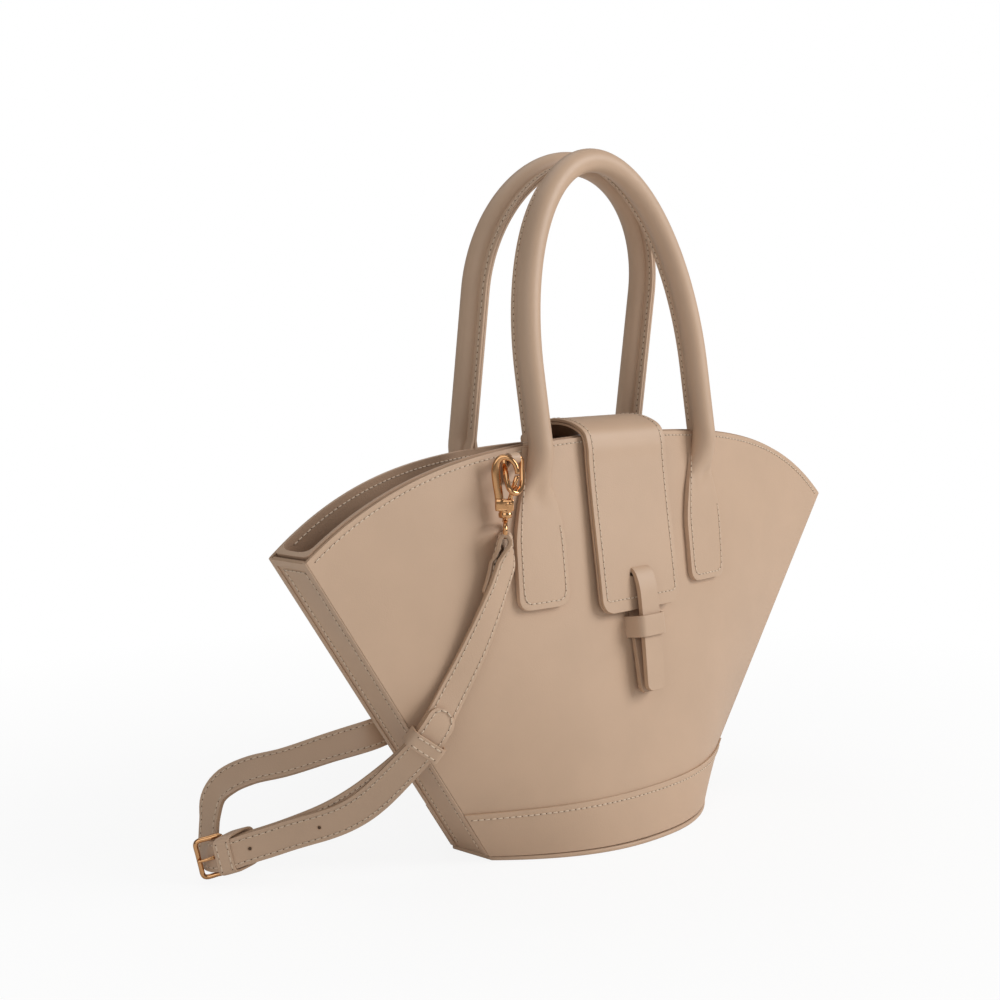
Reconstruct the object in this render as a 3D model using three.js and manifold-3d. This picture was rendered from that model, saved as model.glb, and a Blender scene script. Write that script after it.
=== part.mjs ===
// Fan-shaped handbag with two rolled handles, a flap closed by a tongue and keeper, and a clip-on strap.
// Millimetres, +Z up, origin at the middle of the underside. The front faces -Y.
import * as THREE from 'three';
import { mergeVertices } from 'three/addons/utils/BufferGeometryUtils.js';
import Module from 'manifold-3d';

const wasm = await Module();
wasm.setup();

// Driving dimensions of the bag's body
const topHalfWidth = 203;
const baseHalfWidth = 85;
const cornerHeight = 162;
const middleHeight = 209;
const archFlatness = 0.33;
// How far the middle of each panel's rim lies below the arch
const rimDrops = { front: 0, back: 5.5 };
const gussetHalfDepth = 12.8;
const mouthBulge = 9.7;
const baseBulge = 38;
const basePower = 2.3;
const leather = 1.6;
const lining = 0.7;
const gap = 0.3;
const baseThickness = 2;
const bandHeight = 27.5;
const trim = 1.2;
const weltWidth = 2.9;
const seamSetback = 3.4;

// Handles
const handleX = 66;
const handleFoot = new THREE.Vector3(0, -28.2, 203);
const handleTop = new THREE.Vector3(0, -10.6, 348);
// The length of each handle's straight legs, and how far its top leans along X
const handleShapes = { front: { leg: 40, lean: -7.5 }, back: { leg: 80, lean: 0 } };
const handleRadius = 6;
const handleCore = 4;
const handleFin = 4.2;
const finHalf = 1.5;
const rollStart = 7;
const tabHalfWidth = 16.4;
const tabShift = -1.6;
const tabNeck = 7;
const tabBottom = 127;
const tabShoulder = 158;
const tabTop = 206;
const tabCorner = 6;
const tabThickness = 3;

// Flap, tongue and keeper
const flapHalfWidth = 31.2;
const flapRootHalf = 22.5;
const flapShoulder = 24;
const flapCorner = 8;
const flapOuterThickness = 1.6;
const flapLiningThickness = 1.3;
const flapRoot = [[29, 178], [27.2, 192], [26.2, 204]];
const flapSide = [[26.6, 205.5], [25.5, 207], [23, 208.2], [16, 211.4], [6, 215.3], [-5, 217.3], [-16.5, 216],
  [-25.3, 211.4], [-28, 204.3], [-28.8, 196], [-31.5, 175], [-35.2, 150], [-39.6, 119.5]];
const tongueHalfWidth = 7;
// Each row is a height, the distance off the panel and the strip's thickness there
const tongueRoute = [[77, 7.6, 2.6], [90, 8, 2.6], [103, 8.4, 2.6], [113, 8.6, 2.6], [121, 8.6, 2.6],
  [129, 8.4, 2.6], [134, 7.6, 2.4], [137.5, 6.4, 2.2], [139.6, 4.6, 1.8], [139.6, 2.4, 1.2], [137, 0.75, 0.9],
  [130, 0.75, 0.9], [119, 0.85, 1], [113, 1.3, 1.7], [103, 2, 2.2], [90, 2.8, 2.5], [76, 3.3, 2.6]];
const slitZ = 139.6;
const slitHalf = 2.4;
const keeperHalfWidth = 10.2;
const keeperWall = 1.2;
const keeperDepth = 11.6;
const keeperBottom = 105;
const keeperHeight = 11;

// Ring, hook and strap hardware; the front set is at the left and the back set is the same turned about Z
const ringBar = new THREE.Vector3(-85, -26.3, 201.5);
const ringFront = new THREE.Vector3(-96.3, -39, 186.5);
// Each row is a share of the way from the ring's bar to its front and the ring's half width there
const ringHalves = [[0, 0], [0, 3], [0, 5], [0.04, 5.9], [0.14, 6.1], [0.4, 5.6], [0.65, 5.2], [0.85, 4.2],
  [0.96, 2.2], [1, 0]];
const ringWire = 1.3;
const ringTabHalf = 3.2;
const ringTabBottom = 189;
const ringTabThickness = 2.1;
const ringLoopOuter = 2.9;
const ringLoopInner = 1.8;
// The hook is drawn upright in its own Y and Z about the swivel's axis, then turned and moved to its place
const hookPlace = new THREE.Matrix4().makeRotationZ((43.4 * Math.PI) / 180).setPosition(-94.6, -30.6, 0);
// Each row is across, up and the bow's thickness there
const hookRoute = [[2.6, 177.6, 4.2], [3, 184, 4.2], [4, 191, 4.4], [4.6, 196.5, 4.2], [3.9, 200.6, 3.4],
  [1.6, 202.9, 2.8], [-1.5, 202.6, 2.6], [-4.2, 200.2, 2.4], [-5.5, 197, 2.4], [-5.7, 195.2, 2.4]];
const hookWidth = 4;
const hookBase = 3.1;
const hookBaseZ = 177.6;
const hookBaseTop = 183.2;
const gatePivot = [-1.5, 180.6];
const gateTop = [-5.5, 194.1];
const gateWidth = 2.4;
const rivetRadius = 1.1;
const eyeZ = 168.5;
const eyeHalfWidth = 7;
const eyeHalfHeight = 4;
const eyeWire = 1.1;

// Strap
const strapWidth = 15;
const strapThickness = 2;
const layerOffset = 2.6;
const buckleCentre = new THREE.Vector3(-196, 57.5, 14.2);
const buckleAlong = new THREE.Vector3(0.796, -0.564, 0.219).normalize();
const buckleReach = 13;
const buckleHalf = 9.2;
const buckleWire = 1.2;
const prongHub = 2.5;
const prongBore = 1.5;
const loopHalf = strapWidth / 2 + 0.8;
const loopWall = 1.2;
const loopLength = 8;
// Each row is a point on the centre line and the way that the strap's outer face looks there
const buckleRoute = [
  [[-94.1, -31.1, 161.5], [0.6, -0.8, 0.05]],
  [[-95.3, -31.8, 152], [0.42, -0.9, 0.08]],
  [[-100, -30.8, 140], [0.2, -0.97, 0.1]],
  [[-110.5, -28, 117], [-0.1, -1, 0.1]],
  [[-123, -24, 94], [-0.3, -1, 0.05]],
  [[-138.8, -20.2, 71], [-0.5, -1, 0]],
  [[-148, 3, 47], [-0.7, -0.8, 0]],
  [[-158.5, 21, 32.5], [-0.6, -0.8, 0]],
  [[-171, 37.5, 23], [-0.6, -0.8, 0]],
  [[-184, 49, 17.5], [-0.578, -0.816, 0]],
];
const longRoute = [
  [[-193.6, 73, 27], [-0.98, 0.08, 0.15]],
  [[-190.3, 74.2, 37], [-0.8, -0.1, 0.55]],
  [[-183, 73, 43.5], [-0.6, -0.45, 0.7]],
  [[-173, 67.5, 48], [-0.45, -0.55, 0.7]],
  [[-160, 57, 51.5], [-0.42, -0.6, 0.68]],
  [[-143, 42, 58.5], [-0.45, -0.65, 0.6]],
  [[-127, 28.5, 64.5], [-0.45, -0.8, 0.35]],
  [[-108, 33.5, 65], [-0.1, -0.95, 0.2]],
  [[-80, 47, 59], [0.4, -0.9, 0.1]],
  [[-45, 68, 47], [0.5, -0.85, 0]],
  [[-10, 96, 33], [0.6, -0.8, 0]],
  [[25, 127, 21], [0.55, -0.8, 0]],
  [[65, 147, 14], [0.2, -1, 0]],
  [[108, 141, 14], [-0.4, -0.9, 0]],
  [[133, 112, 23], [-0.9, -0.4, 0]],
  [[136, 80, 48], [-0.95, 0, 0.2]],
  [[126, 57, 84], [-0.8, 0.6, 0]],
  [[112, 42, 122], [-0.3, 0.95, 0]],
  [[98, 33.5, 152], [-0.5, 0.85, 0.1]],
  [[94.1, 31.1, 161.5], [-0.6, 0.8, 0.05]],
];

// Materials
function finish(colour, roughness, metalness) {
  return new THREE.MeshStandardMaterial({ color: colour, roughness, metalness });
}
const tan = finish(0xc2a58b, 0.55, 0);
const tanInside = finish(0xb79a81, 0.7, 0);
const board = finish(0x9a8468, 0.9, 0);
const gold = finish(0xdcb377, 0.25, 1);
const coreFibre = finish(0xd9d2c4, 0.95, 0);

const bag = new THREE.Group();

function add(name, geometry, material, halfTurn = false) {
  const mesh = new THREE.Mesh(geometry, material);
  mesh.name = name;
  mesh.rotation.z = halfTurn ? Math.PI : 0;
  bag.add(mesh);
}

// A closed body from points and triangles, turned to face out
function solid(points, faces) {
  let volume = 0;
  for (const [a, b, c] of faces) {
    volume += points[a].dot(new THREE.Vector3().crossVectors(points[b], points[c]));
  }
  const index = faces.flatMap(([a, b, c]) => (volume > 0 ? [a, b, c] : [a, c, b]));
  const geometry = new THREE.BufferGeometry();
  geometry.setAttribute('position', new THREE.Float32BufferAttribute(points.flatMap((p) => p.toArray()), 3));
  geometry.setIndex(index);
  return geometry;
}

// The quads between two rows of the same length, as triangles
function band(rowA, rowB, closed) {
  const faces = [];
  const count = closed ? rowA.length : rowA.length - 1;
  for (let i = 0; i < count; i += 1) {
    const j = (i + 1) % rowA.length;
    faces.push([rowA[i], rowA[j], rowB[j]], [rowA[i], rowB[j], rowB[i]]);
  }
  return faces;
}

// A body through a list of closed sections, capped at both ends or joined end to start
function loft(sections, joined = false) {
  const size = sections[0].length;
  const points = sections.flat();
  const rows = sections.map((section, s) => section.map((_, i) => s * size + i));
  const faces = [];
  for (let s = 0; s + 1 < rows.length; s += 1) faces.push(...band(rows[s], rows[s + 1], true));
  if (joined) {
    faces.push(...band(rows.at(-1), rows[0], true));
    return solid(points, faces);
  }
  const cap = (row, flip) => {
    const middle = new THREE.Vector3();
    row.forEach((i) => middle.addScaledVector(points[i], 1 / size));
    const hub = points.push(middle) - 1;
    row.forEach((a, i) => {
      const b = row[(i + 1) % size];
      faces.push(flip ? [hub, b, a] : [hub, a, b]);
    });
  };
  cap(rows[0], true);
  cap(rows.at(-1), false);
  return solid(points, faces);
}

// A tube with an open bore, from outer and inner sections of the same size
function hollowLoft(outer, inner) {
  const size = outer[0].length;
  const shift = outer.length * size;
  const points = [...outer.flat(), ...inner.flat()];
  const row = (s, base) => outer[0].map((_, i) => base + s * size + i);
  const faces = [];
  for (let s = 0; s + 1 < outer.length; s += 1) {
    faces.push(...band(row(s, 0), row(s + 1, 0), true), ...band(row(s + 1, shift), row(s, shift), true));
  }
  const last = outer.length - 1;
  faces.push(...band(row(0, shift), row(0, 0), true), ...band(row(last, 0), row(last, shift), true));
  return solid(points, faces);
}

// A sheet between two surfaces of (a, b), each from 0 to 1
function sheet(outer, inner, stepsA, stepsB) {
  const sections = [];
  for (let a = 0; a <= stepsA; a += 1) {
    const near = [];
    const far = [];
    for (let b = 0; b <= stepsB; b += 1) {
      near.push(outer(a / stepsA, b / stepsB));
      far.unshift(inner(a / stepsA, b / stepsB));
    }
    sections.push([...near, ...far]);
  }
  const size = sections[0].length;
  const rows = sections.map((section, s) => section.map((_, i) => s * size + i));
  const faces = [];
  for (let s = 0; s + 1 < rows.length; s += 1) faces.push(...band(rows[s], rows[s + 1], true));
  const cap = (row, flip) => {
    for (let b = 0; b < stepsB; b += 1) {
      const quad = [row[b], row[b + 1], row[size - 2 - b], row[size - 1 - b]];
      const [p, q, r, t] = flip ? quad.reverse() : quad;
      faces.push([p, q, r], [p, r, t]);
    }
  };
  cap(rows[0], true);
  cap(rows.at(-1), false);
  return solid(sections.flat(), faces);
}

// Boolean cuts and joins
function toManifold(geometry) {
  const bare = new THREE.BufferGeometry();
  bare.setAttribute('position', geometry.getAttribute('position').clone());
  if (geometry.index) bare.setIndex(geometry.index.clone());
  const merged = mergeVertices(bare, 1e-4);
  return new wasm.Manifold(new wasm.Mesh({
    numProp: 3,
    vertProperties: new Float32Array(merged.getAttribute('position').array),
    triVerts: new Uint32Array(merged.index.array),
  }));
}

function fromManifold(body) {
  const mesh = body.getMesh();
  const geometry = new THREE.BufferGeometry();
  geometry.setAttribute('position', new THREE.BufferAttribute(mesh.vertProperties, 3));
  geometry.setIndex(new THREE.BufferAttribute(mesh.triVerts, 1));
  return geometry;
}

function join(...geometries) {
  return fromManifold(geometries.map(toManifold).reduce((a, b) => a.add(b)));
}

function cut(geometry, ...tools) {
  return fromManifold(tools.map(toManifold).reduce((a, b) => a.subtract(b), toManifold(geometry)));
}

function rod(radius, from, to, sides = 16) {
  const start = new THREE.Vector3(...from);
  const along = new THREE.Vector3(...to).sub(start);
  const shape = new THREE.CylinderGeometry(radius, radius, along.length(), sides);
  const turn = new THREE.Quaternion().setFromUnitVectors(new THREE.Vector3(0, 1, 0), along.clone().normalize());
  const middle = start.addScaledVector(along, 0.5);
  return shape.applyMatrix4(new THREE.Matrix4().compose(middle, turn, new THREE.Vector3(1, 1, 1)));
}

function block(low, high) {
  const size = high.map((value, i) => value - low[i]);
  const middle = high.map((value, i) => (value + low[i]) / 2);
  return new THREE.BoxGeometry(...size).translate(...middle);
}

// The front panel's outer face: straight lines from the boat-shaped base to the arched rim
function rimHeight(u) {
  return middleHeight - (middleHeight - cornerHeight) * (archFlatness * u ** 2 + (1 - archFlatness) * u ** 4);
}

function sideX(t) {
  return baseHalfWidth + (topHalfWidth - baseHalfWidth) * t;
}

function facePoint(u, t) {
  const low = -(gussetHalfDepth + baseBulge * (1 - Math.abs(u) ** basePower));
  const high = -(gussetHalfDepth + mouthBulge * (1 - u * u));
  return new THREE.Vector3(u * sideX(t), low + (high - low) * t, t * rimHeight(u));
}

function face(u, t, offset) {
  const step = 0.002;
  const across = facePoint(u + step, t).sub(facePoint(u - step, t));
  const upward = facePoint(u, t + step).sub(facePoint(u, t - step));
  return facePoint(u, t).addScaledVector(across.cross(upward).normalize(), offset);
}

// The same face found from a place on it, X across and Z up
function faceAt(x, z, offset) {
  let t = z / middleHeight;
  let u = 0;
  for (let pass = 0; pass < 30; pass += 1) {
    u = x / sideX(t);
    t = z / rimHeight(u);
  }
  return face(u, t, offset);
}

function faceSheet(lowZ, highZ, near, far, setback, stepsU, stepsT, drop = 0) {
  const place = (a, b, offset) => {
    const side = Math.sin(Math.PI * (a - 0.5));
    const low = lowZ / rimHeight(side);
    const high = highZ ? highZ / rimHeight(side) : 1 - (drop * (1 - side ** 2)) / rimHeight(side);
    const t = low + (high - low) * b;
    return face(side * (1 - setback / sideX(t)), t, offset);
  };
  return sheet((a, b) => place(a, b, near), (a, b) => place(a, b, far), stepsU, stepsT);
}

// The left gusset's outer face, an inclined plane between the two panels
const gussetNormal = new THREE.Vector3(-cornerHeight, 0, -(topHalfWidth - baseHalfWidth)).normalize();

function gussetSheet(yLow, yHigh, near, far, lowZ) {
  const place = (a, b, offset) => {
    const t = (lowZ + (cornerHeight - lowZ) * b) / cornerHeight;
    return new THREE.Vector3(-sideX(t), yLow + (yHigh - yLow) * a, t * cornerHeight)
      .addScaledVector(gussetNormal, offset);
  };
  return sheet((a, b) => place(a, b, near), (a, b) => place(a, b, far), 2, 4);
}

// Body shell: panels, gussets, linings, bands and welts, each made once and turned half round
const shellFoot = baseThickness + gap;
const layerFoot = shellFoot + 3 * gap;
const liningFace = -(leather + 3 * gap);
const seamHalf = gussetHalfDepth - weltWidth;
for (const [side, turned] of [['front', false], ['back', true]]) {
  add(`${side}_panel`, faceSheet(shellFoot, 0, 0, -leather, 0, 24, 8, rimDrops[side]), tan, turned);
  const inside = faceSheet(layerFoot, 0, liningFace, liningFace - lining, seamSetback, 20, 6, rimDrops[side]);
  add(`${side}_lining`, inside, tanInside, turned);
  add(`${side}_base_band`, faceSheet(layerFoot, bandHeight, 2 * gap + trim, 2 * gap, 0, 24, 2), tan, turned);
}
for (const [side, turned] of [['left', false], ['right', true]]) {
  add(`${side}_gusset`, gussetSheet(-seamHalf, seamHalf, 0, -leather, shellFoot), tan, turned);
  add(`${side}_gusset_lining`, gussetSheet(-seamHalf + gap, seamHalf - gap, liningFace, liningFace - lining, layerFoot),
    tanInside, turned);
  const welt = (low, high) => gussetSheet(low, high, gap + trim, gap, layerFoot);
  add(`front_${side}_welt`, turned ? welt(seamHalf, gussetHalfDepth) : welt(-gussetHalfDepth, -seamHalf), tan, turned);
  add(`back_${side}_welt`, turned ? welt(-gussetHalfDepth, -seamHalf) : welt(seamHalf, gussetHalfDepth), tan, turned);
}

// Base: outline offset from the panels' foot, as flat plates
function baseOutline(offset) {
  const steps = 24;
  const points = [];
  for (const side of [-1, 1]) {
    for (let i = 0; i <= steps; i += 1) {
      const u = side * (1 - (2 * i) / steps);
      const depth = gussetHalfDepth + offset + baseBulge * (1 - Math.abs(u) ** basePower);
      points.push(new THREE.Vector2(-u * (baseHalfWidth + offset), side * depth));
    }
  }
  return points;
}

function basePlate(offset, lowZ, thickness) {
  const shape = new THREE.Shape(baseOutline(offset));
  return new THREE.ExtrudeGeometry(shape, { depth: thickness, bevelEnabled: false }).translate(0, 0, lowZ);
}

const boardThickness = 1.8;
const boardInset = -5;
const boardZ = shellFoot + gap;
add('base_panel', basePlate(-0.6, 0, baseThickness), tan);
add('base_welt', cut(basePlate(gap + trim, 0, baseThickness), basePlate(-gap, -1, baseThickness + 2)), tan);
add('base_board', basePlate(boardInset, boardZ, boardThickness), board);
add('base_lining', basePlate(boardInset - gap, boardZ + boardThickness + gap, lining), tanInside);

// Handles: a rolled cover with a sewn fin, over a round core, in a plane leaning to the other handle
const handleUp = handleTop.clone().sub(handleFoot).normalize();
const handleIn = new THREE.Vector3(0, handleUp.z, -handleUp.y);
const handleRise = handleTop.distanceTo(handleFoot);

function handleStations({ leg, lean }) {
  const stations = [];
  const right = new THREE.Vector3(1, 0, 0);
  const arch = handleRise - leg;
  const at = (x, s, across, up) => {
    const tangent = right.clone().multiplyScalar(across + (up * lean) / handleRise).addScaledVector(handleUp, up);
    stations.push({
      centre: handleFoot.clone().addScaledVector(handleUp, s).addScaledVector(right, x + (s * lean) / handleRise),
      side: tangent.cross(handleIn).normalize(),
    });
  };
  const legSteps = 2;
  const arcSteps = 16;
  for (let i = 0; i < legSteps; i += 1) {
    at(-handleX, rollStart + ((leg - rollStart) * i) / legSteps, 0, 1);
  }
  for (let i = 0; i <= arcSteps; i += 1) {
    const turn = (Math.PI * i) / arcSteps;
    at(-handleX * Math.cos(turn), leg + arch * Math.sin(turn), handleX * Math.sin(turn), arch * Math.cos(turn));
  }
  for (let i = 1; i <= legSteps; i += 1) {
    at(handleX, leg - ((leg - rollStart) * i) / legSteps, 0, -1);
  }
  return stations;
}

function section(station, outline) {
  return outline.map(([inward, sideways]) => station.centre.clone()
    .addScaledVector(handleIn, inward).addScaledVector(station.side, sideways));
}

const roundSteps = 10;
const finAngle = Math.asin(finHalf / handleRadius);
const coverOutline = [];
const boreOutline = [];
for (let i = 0; i <= roundSteps; i += 1) {
  const angle = finAngle + ((2 * Math.PI - 2 * finAngle) * i) / roundSteps;
  coverOutline.push([handleRadius * Math.cos(angle), handleRadius * Math.sin(angle)]);
  boreOutline.push([(handleCore + gap) * Math.cos(angle), (handleCore + gap) * Math.sin(angle)]);
}
coverOutline.push([handleRadius + handleFin, -finHalf], [handleRadius + handleFin, finHalf]);
boreOutline.push([handleCore + gap, -0.4], [handleCore + gap, 0.4]);
const coreOutline = Array.from({ length: 6 }, (_, i) => [
  handleCore * Math.cos((Math.PI * i) / 3),
  handleCore * Math.sin((Math.PI * i) / 3),
]);

// The sewn end of a handle, flat on the panel, with a narrow neck and rounded lower corners
function tabWidth(z) {
  const rise = z - tabBottom;
  if (rise < tabCorner) return tabHalfWidth - tabCorner + Math.sqrt(tabCorner ** 2 - (tabCorner - rise) ** 2);
  const neck = Math.max(0, (z - tabShoulder) / (tabTop + 2 - tabShoulder)) ** 1.4;
  return tabHalfWidth + (tabNeck - tabHalfWidth) * neck;
}

function handleTab(x) {
  const heights = [0, 0.4, 1.8, tabCorner, 18, tabShoulder - tabBottom, 42, 53, 63, 71, tabTop - tabBottom];
  const place = (a, b, offset) => {
    const z = tabBottom + heights[Math.round(b * (heights.length - 1))];
    return faceAt(x + (2 * a - 1) * tabWidth(z), z, offset);
  };
  return sheet((a, b) => place(a, b, gap + tabThickness), (a, b) => place(a, b, gap), 4, heights.length - 1);
}

for (const [side, turned] of [['front', false], ['back', true]]) {
  const stations = handleStations(handleShapes[side]);
  const cover = hollowLoft(stations.map((s) => section(s, coverOutline)), stations.map((s) => section(s, boreOutline)));
  add(`${side}_handle_cover`, cover, tan, turned);
  add(`${side}_handle_core`, loft(stations.map((s) => section(s, coreOutline))), coreFibre, turned);
  const [left, right] = turned ? [handleX, -handleX] : [-handleX, handleX];
  add(`${side}_left_handle_tab`, handleTab(left + tabShift), tan, turned);
  add(`${side}_right_handle_tab`, handleTab(right + tabShift), tan, turned);
}

// Flap: a strip from the back panel over the mouth and down the front, narrower where it is sewn on
function flapStrip(points, near, far, steps, roundEnd) {
  const curve = new THREE.CatmullRomCurve3(points.map(([y, z]) => new THREE.Vector3(0, y, z)));
  const length = curve.getLength();
  const place = (a, b, offset) => {
    const along = b ** (roundEnd ? 0.8 : 1);
    const centre = curve.getPointAt(along);
    const tangent = curve.getTangentAt(along);
    const rest = Math.min(flapCorner, (1 - along) * length);
    const corner = flapCorner - Math.sqrt(flapCorner ** 2 - (flapCorner - rest) ** 2);
    const shoulder = THREE.MathUtils.smoothstep(along * length, 0, flapShoulder);
    const full = flapRootHalf + (flapHalfWidth - flapRootHalf) * shoulder - corner;
    const out = new THREE.Vector3(0, tangent.z, -tangent.y);
    centre.x = (2 * a - 1) * (roundEnd ? full : flapRootHalf);
    return centre.addScaledVector(out, offset);
  };
  return sheet((a, b) => place(a, b, near), (a, b) => place(a, b, far), 2, steps);
}

const flapInner = -(flapOuterThickness + gap);
const slit = block([-tongueHalfWidth - 0.5, -60, slitZ - slitHalf], [tongueHalfWidth + 0.5, -20, slitZ + slitHalf]);
add('flap_outer', cut(flapStrip(flapSide, 0, -flapOuterThickness, 38, true), slit), tan);
add('flap_lining', cut(flapStrip(flapSide, flapInner, flapInner - flapLiningThickness, 38, true), slit), tanInside);
add('flap_root', flapStrip(flapRoot, 0, -flapOuterThickness, 4, false), tan);

// Tongue: one strip folded through the slit, with a tail in front and one behind
function tongue() {
  const curve = new THREE.CatmullRomCurve3(tongueRoute.map(([z, offset]) => faceAt(0, z, offset)));
  const steps = 48;
  const sections = [];
  for (let i = 0; i <= steps; i += 1) {
    const place = curve.getUtoTmapping(i / steps) * (tongueRoute.length - 1);
    const k = Math.min(Math.floor(place), tongueRoute.length - 2);
    const half = THREE.MathUtils.lerp(tongueRoute[k][2], tongueRoute[k + 1][2], place - k) / 2;
    const centre = curve.getPointAt(i / steps);
    const tangent = curve.getTangentAt(i / steps);
    const out = new THREE.Vector3(0, tangent.z, -tangent.y).normalize();
    const corner = (x, n) => centre.clone().setX(x).addScaledVector(out, n);
    const w = tongueHalfWidth;
    sections.push([corner(-w, -half), corner(w, -half), corner(w, half), corner(-w, half)]);
  }
  return loft(sections);
}
add('closure_tongue', tongue(), tan);

// Keeper: a strip bridging the tongue, its two ends let into the panel
function keeper() {
  const foot = faceAt(0, keeperBottom, 0);
  const up = faceAt(0, keeperBottom + keeperHeight, 0).sub(foot).normalize();
  const out = new THREE.Vector3(0, -up.z, up.y);
  const inner = keeperHalfWidth - keeperWall;
  const outline = [[-keeperHalfWidth, gap], [-inner, gap], [-inner, keeperDepth - keeperWall],
    [inner, keeperDepth - keeperWall], [inner, gap], [keeperHalfWidth, gap],
    [keeperHalfWidth, keeperDepth], [-keeperHalfWidth, keeperDepth]];
  const shape = new THREE.Shape(outline.map(([x, n]) => new THREE.Vector2(x, n)));
  const frame = new THREE.Matrix4().makeBasis(new THREE.Vector3(1, 0, 0), out, up).setPosition(foot);
  const geometry = new THREE.ExtrudeGeometry(shape, { depth: keeperHeight, bevelEnabled: false });
  return geometry.applyMatrix4(frame);
}
// The keeper's frame is left-handed here, so its triangles are turned round
function turnedRound(geometry) {
  const position = geometry.getAttribute('position');
  const points = Array.from({ length: position.count }, (_, i) => new THREE.Vector3().fromBufferAttribute(position, i));
  const faces = Array.from({ length: points.length / 3 }, (_, i) => [3 * i, 3 * i + 1, 3 * i + 2]);
  return solid(points, faces);
}
add('closure_keeper', turnedRound(keeper()), tan);

// Round wire along a closed flat path, given its points and the plane's normal
const wireSides = 6;

function wireLoop(points, normal, radius, steps) {
  const curve = new THREE.CatmullRomCurve3(points, true);
  const sections = [];
  for (let i = 0; i < steps; i += 1) {
    const centre = curve.getPointAt(i / steps);
    const side = curve.getTangentAt(i / steps).cross(normal).normalize();
    sections.push(Array.from({ length: wireSides }, (_, k) => centre.clone()
      .addScaledVector(normal, radius * Math.cos((2 * Math.PI * k) / wireSides))
      .addScaledVector(side, radius * Math.sin((2 * Math.PI * k) / wireSides))));
  }
  return loft(sections, true);
}

// D-ring and the leather loop that holds its bar
function dRing() {
  const mirrored = ringHalves.slice(1, -1).reverse().map(([share, half]) => [share, -half]);
  const outline = [...ringHalves, ...mirrored].map(([share, half]) => ringBar.clone().lerp(ringFront, share)
    .add(new THREE.Vector3(half, 0, 0)));
  const normal = ringFront.clone().sub(ringBar).cross(new THREE.Vector3(1, 0, 0)).normalize();
  return wireLoop(outline, normal, ringWire, 32);
}

function ringTab() {
  const [left, right] = [ringBar.x - ringTabHalf, ringBar.x + ringTabHalf];
  const { y, z } = ringBar;
  const barrel = rod(ringLoopOuter, [left, y, z], [right, y, z]);
  const place = (a, b, offset) => faceAt(left + (right - left) * a, ringTabBottom + (z - ringTabBottom) * b, offset);
  const tail = sheet((a, b) => place(a, b, gap + ringTabThickness), (a, b) => place(a, b, gap), 2, 2);
  const bore = rod(ringLoopInner, [left - 1, y, z], [right + 1, y, z]);
  return cut(join(barrel, tail), bore);
}

// Snap hook: a bow with a broad long side, on a base that turns on the eye's stem
function hookBody() {
  const curve = new THREE.CatmullRomCurve3(hookRoute.map(([y, z]) => new THREE.Vector3(0, y, z)));
  const steps = 18;
  const sections = Array.from({ length: steps + 1 }, (_, i) => {
    const centre = curve.getPointAt(i / steps);
    const ahead = curve.getTangentAt(i / steps);
    const place = curve.getUtoTmapping(i / steps) * (hookRoute.length - 1);
    const k = Math.min(Math.floor(place), hookRoute.length - 2);
    const half = THREE.MathUtils.lerp(hookRoute[k][2], hookRoute[k + 1][2], place - k) / 2;
    return [[-1, -1], [1, -1], [1, 1], [-1, 1]].map(([a, b]) => new THREE.Vector3(
      (a * hookWidth) / 2, centre.y + b * half * ahead.z, centre.z - b * half * ahead.y,
    ));
  });
  const sole = block([-hookBase, -4, hookBaseZ], [hookBase, 4.7, hookBaseZ + 0.9]);
  const heel = block([-hookBase, 1, hookBaseZ], [hookBase, 4.7, hookBaseTop]);
  const inner = gateWidth / 2 + gap;
  const cheeks = [[-hookBase, -inner], [inner, hookBase]].map(([low, high]) => block(
    [low, -4, hookBaseZ], [high, 1.2, gatePivot[1] + 2.2],
  ));
  const collar = rod(3.3, [0, 0, hookBaseZ - 3.7], [0, 0, hookBaseZ + 0.4]);
  const bore = rod(1.7, [0, 0, hookBaseZ - 5], [0, 0, hookBaseZ - 1]);
  const pocket = rod(2.6, [0, 0, hookBaseZ - 2], [0, 0, hookBaseZ + 0.4]);
  const rivetBore = rod(rivetRadius + gap, [-5, ...gatePivot], [5, ...gatePivot]);
  return cut(join(loft(sections), sole, heel, ...cheeks, collar), bore, pocket, rivetBore).applyMatrix4(hookPlace);
}

function hookGate() {
  const [y, z] = gatePivot;
  const half = gateWidth / 2;
  const lean = (gateTop[0] - y) / (gateTop[1] - z);
  const sections = [0.2, gateTop[1] - z].map((height) => [[-1, -1], [1, -1], [1, 1], [-1, 1]].map(
    ([a, b]) => new THREE.Vector3(a * half, y + lean * height + b * half, z + height),
  ));
  const hub = rod(1.8, [-half, y, z], [half, y, z]);
  const thumb = rod(0.9, [0, y + lean * 6 - half + 0.2, z + 6], [0, y + lean * 7 - half - 0.9, z + 7], 8);
  const bore = rod(rivetRadius + gap, [-5, y, z], [5, y, z]);
  return cut(join(loft(sections), hub, thumb), bore).applyMatrix4(hookPlace);
}

function hookRivet() {
  return rod(rivetRadius, [-hookBase, ...gatePivot], [hookBase, ...gatePivot], 10).applyMatrix4(hookPlace);
}

function hookEye() {
  const outline = Array.from({ length: 12 }, (_, i) => {
    const turn = (Math.PI * i) / 6;
    return new THREE.Vector3(eyeHalfWidth * Math.sin(turn), 0, eyeZ + eyeHalfHeight * Math.cos(turn));
  });
  const oval = wireLoop(outline, new THREE.Vector3(0, 1, 0), eyeWire, 24);
  const stem = rod(1.35, [0, 0, eyeZ + eyeHalfHeight - 0.4], [0, 0, hookBaseZ - 1.4], 12);
  const head = rod(2.2, [0, 0, hookBaseZ - 1.7], [0, 0, hookBaseZ], 12);
  return join(oval, stem, head).applyMatrix4(hookPlace);
}

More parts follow.
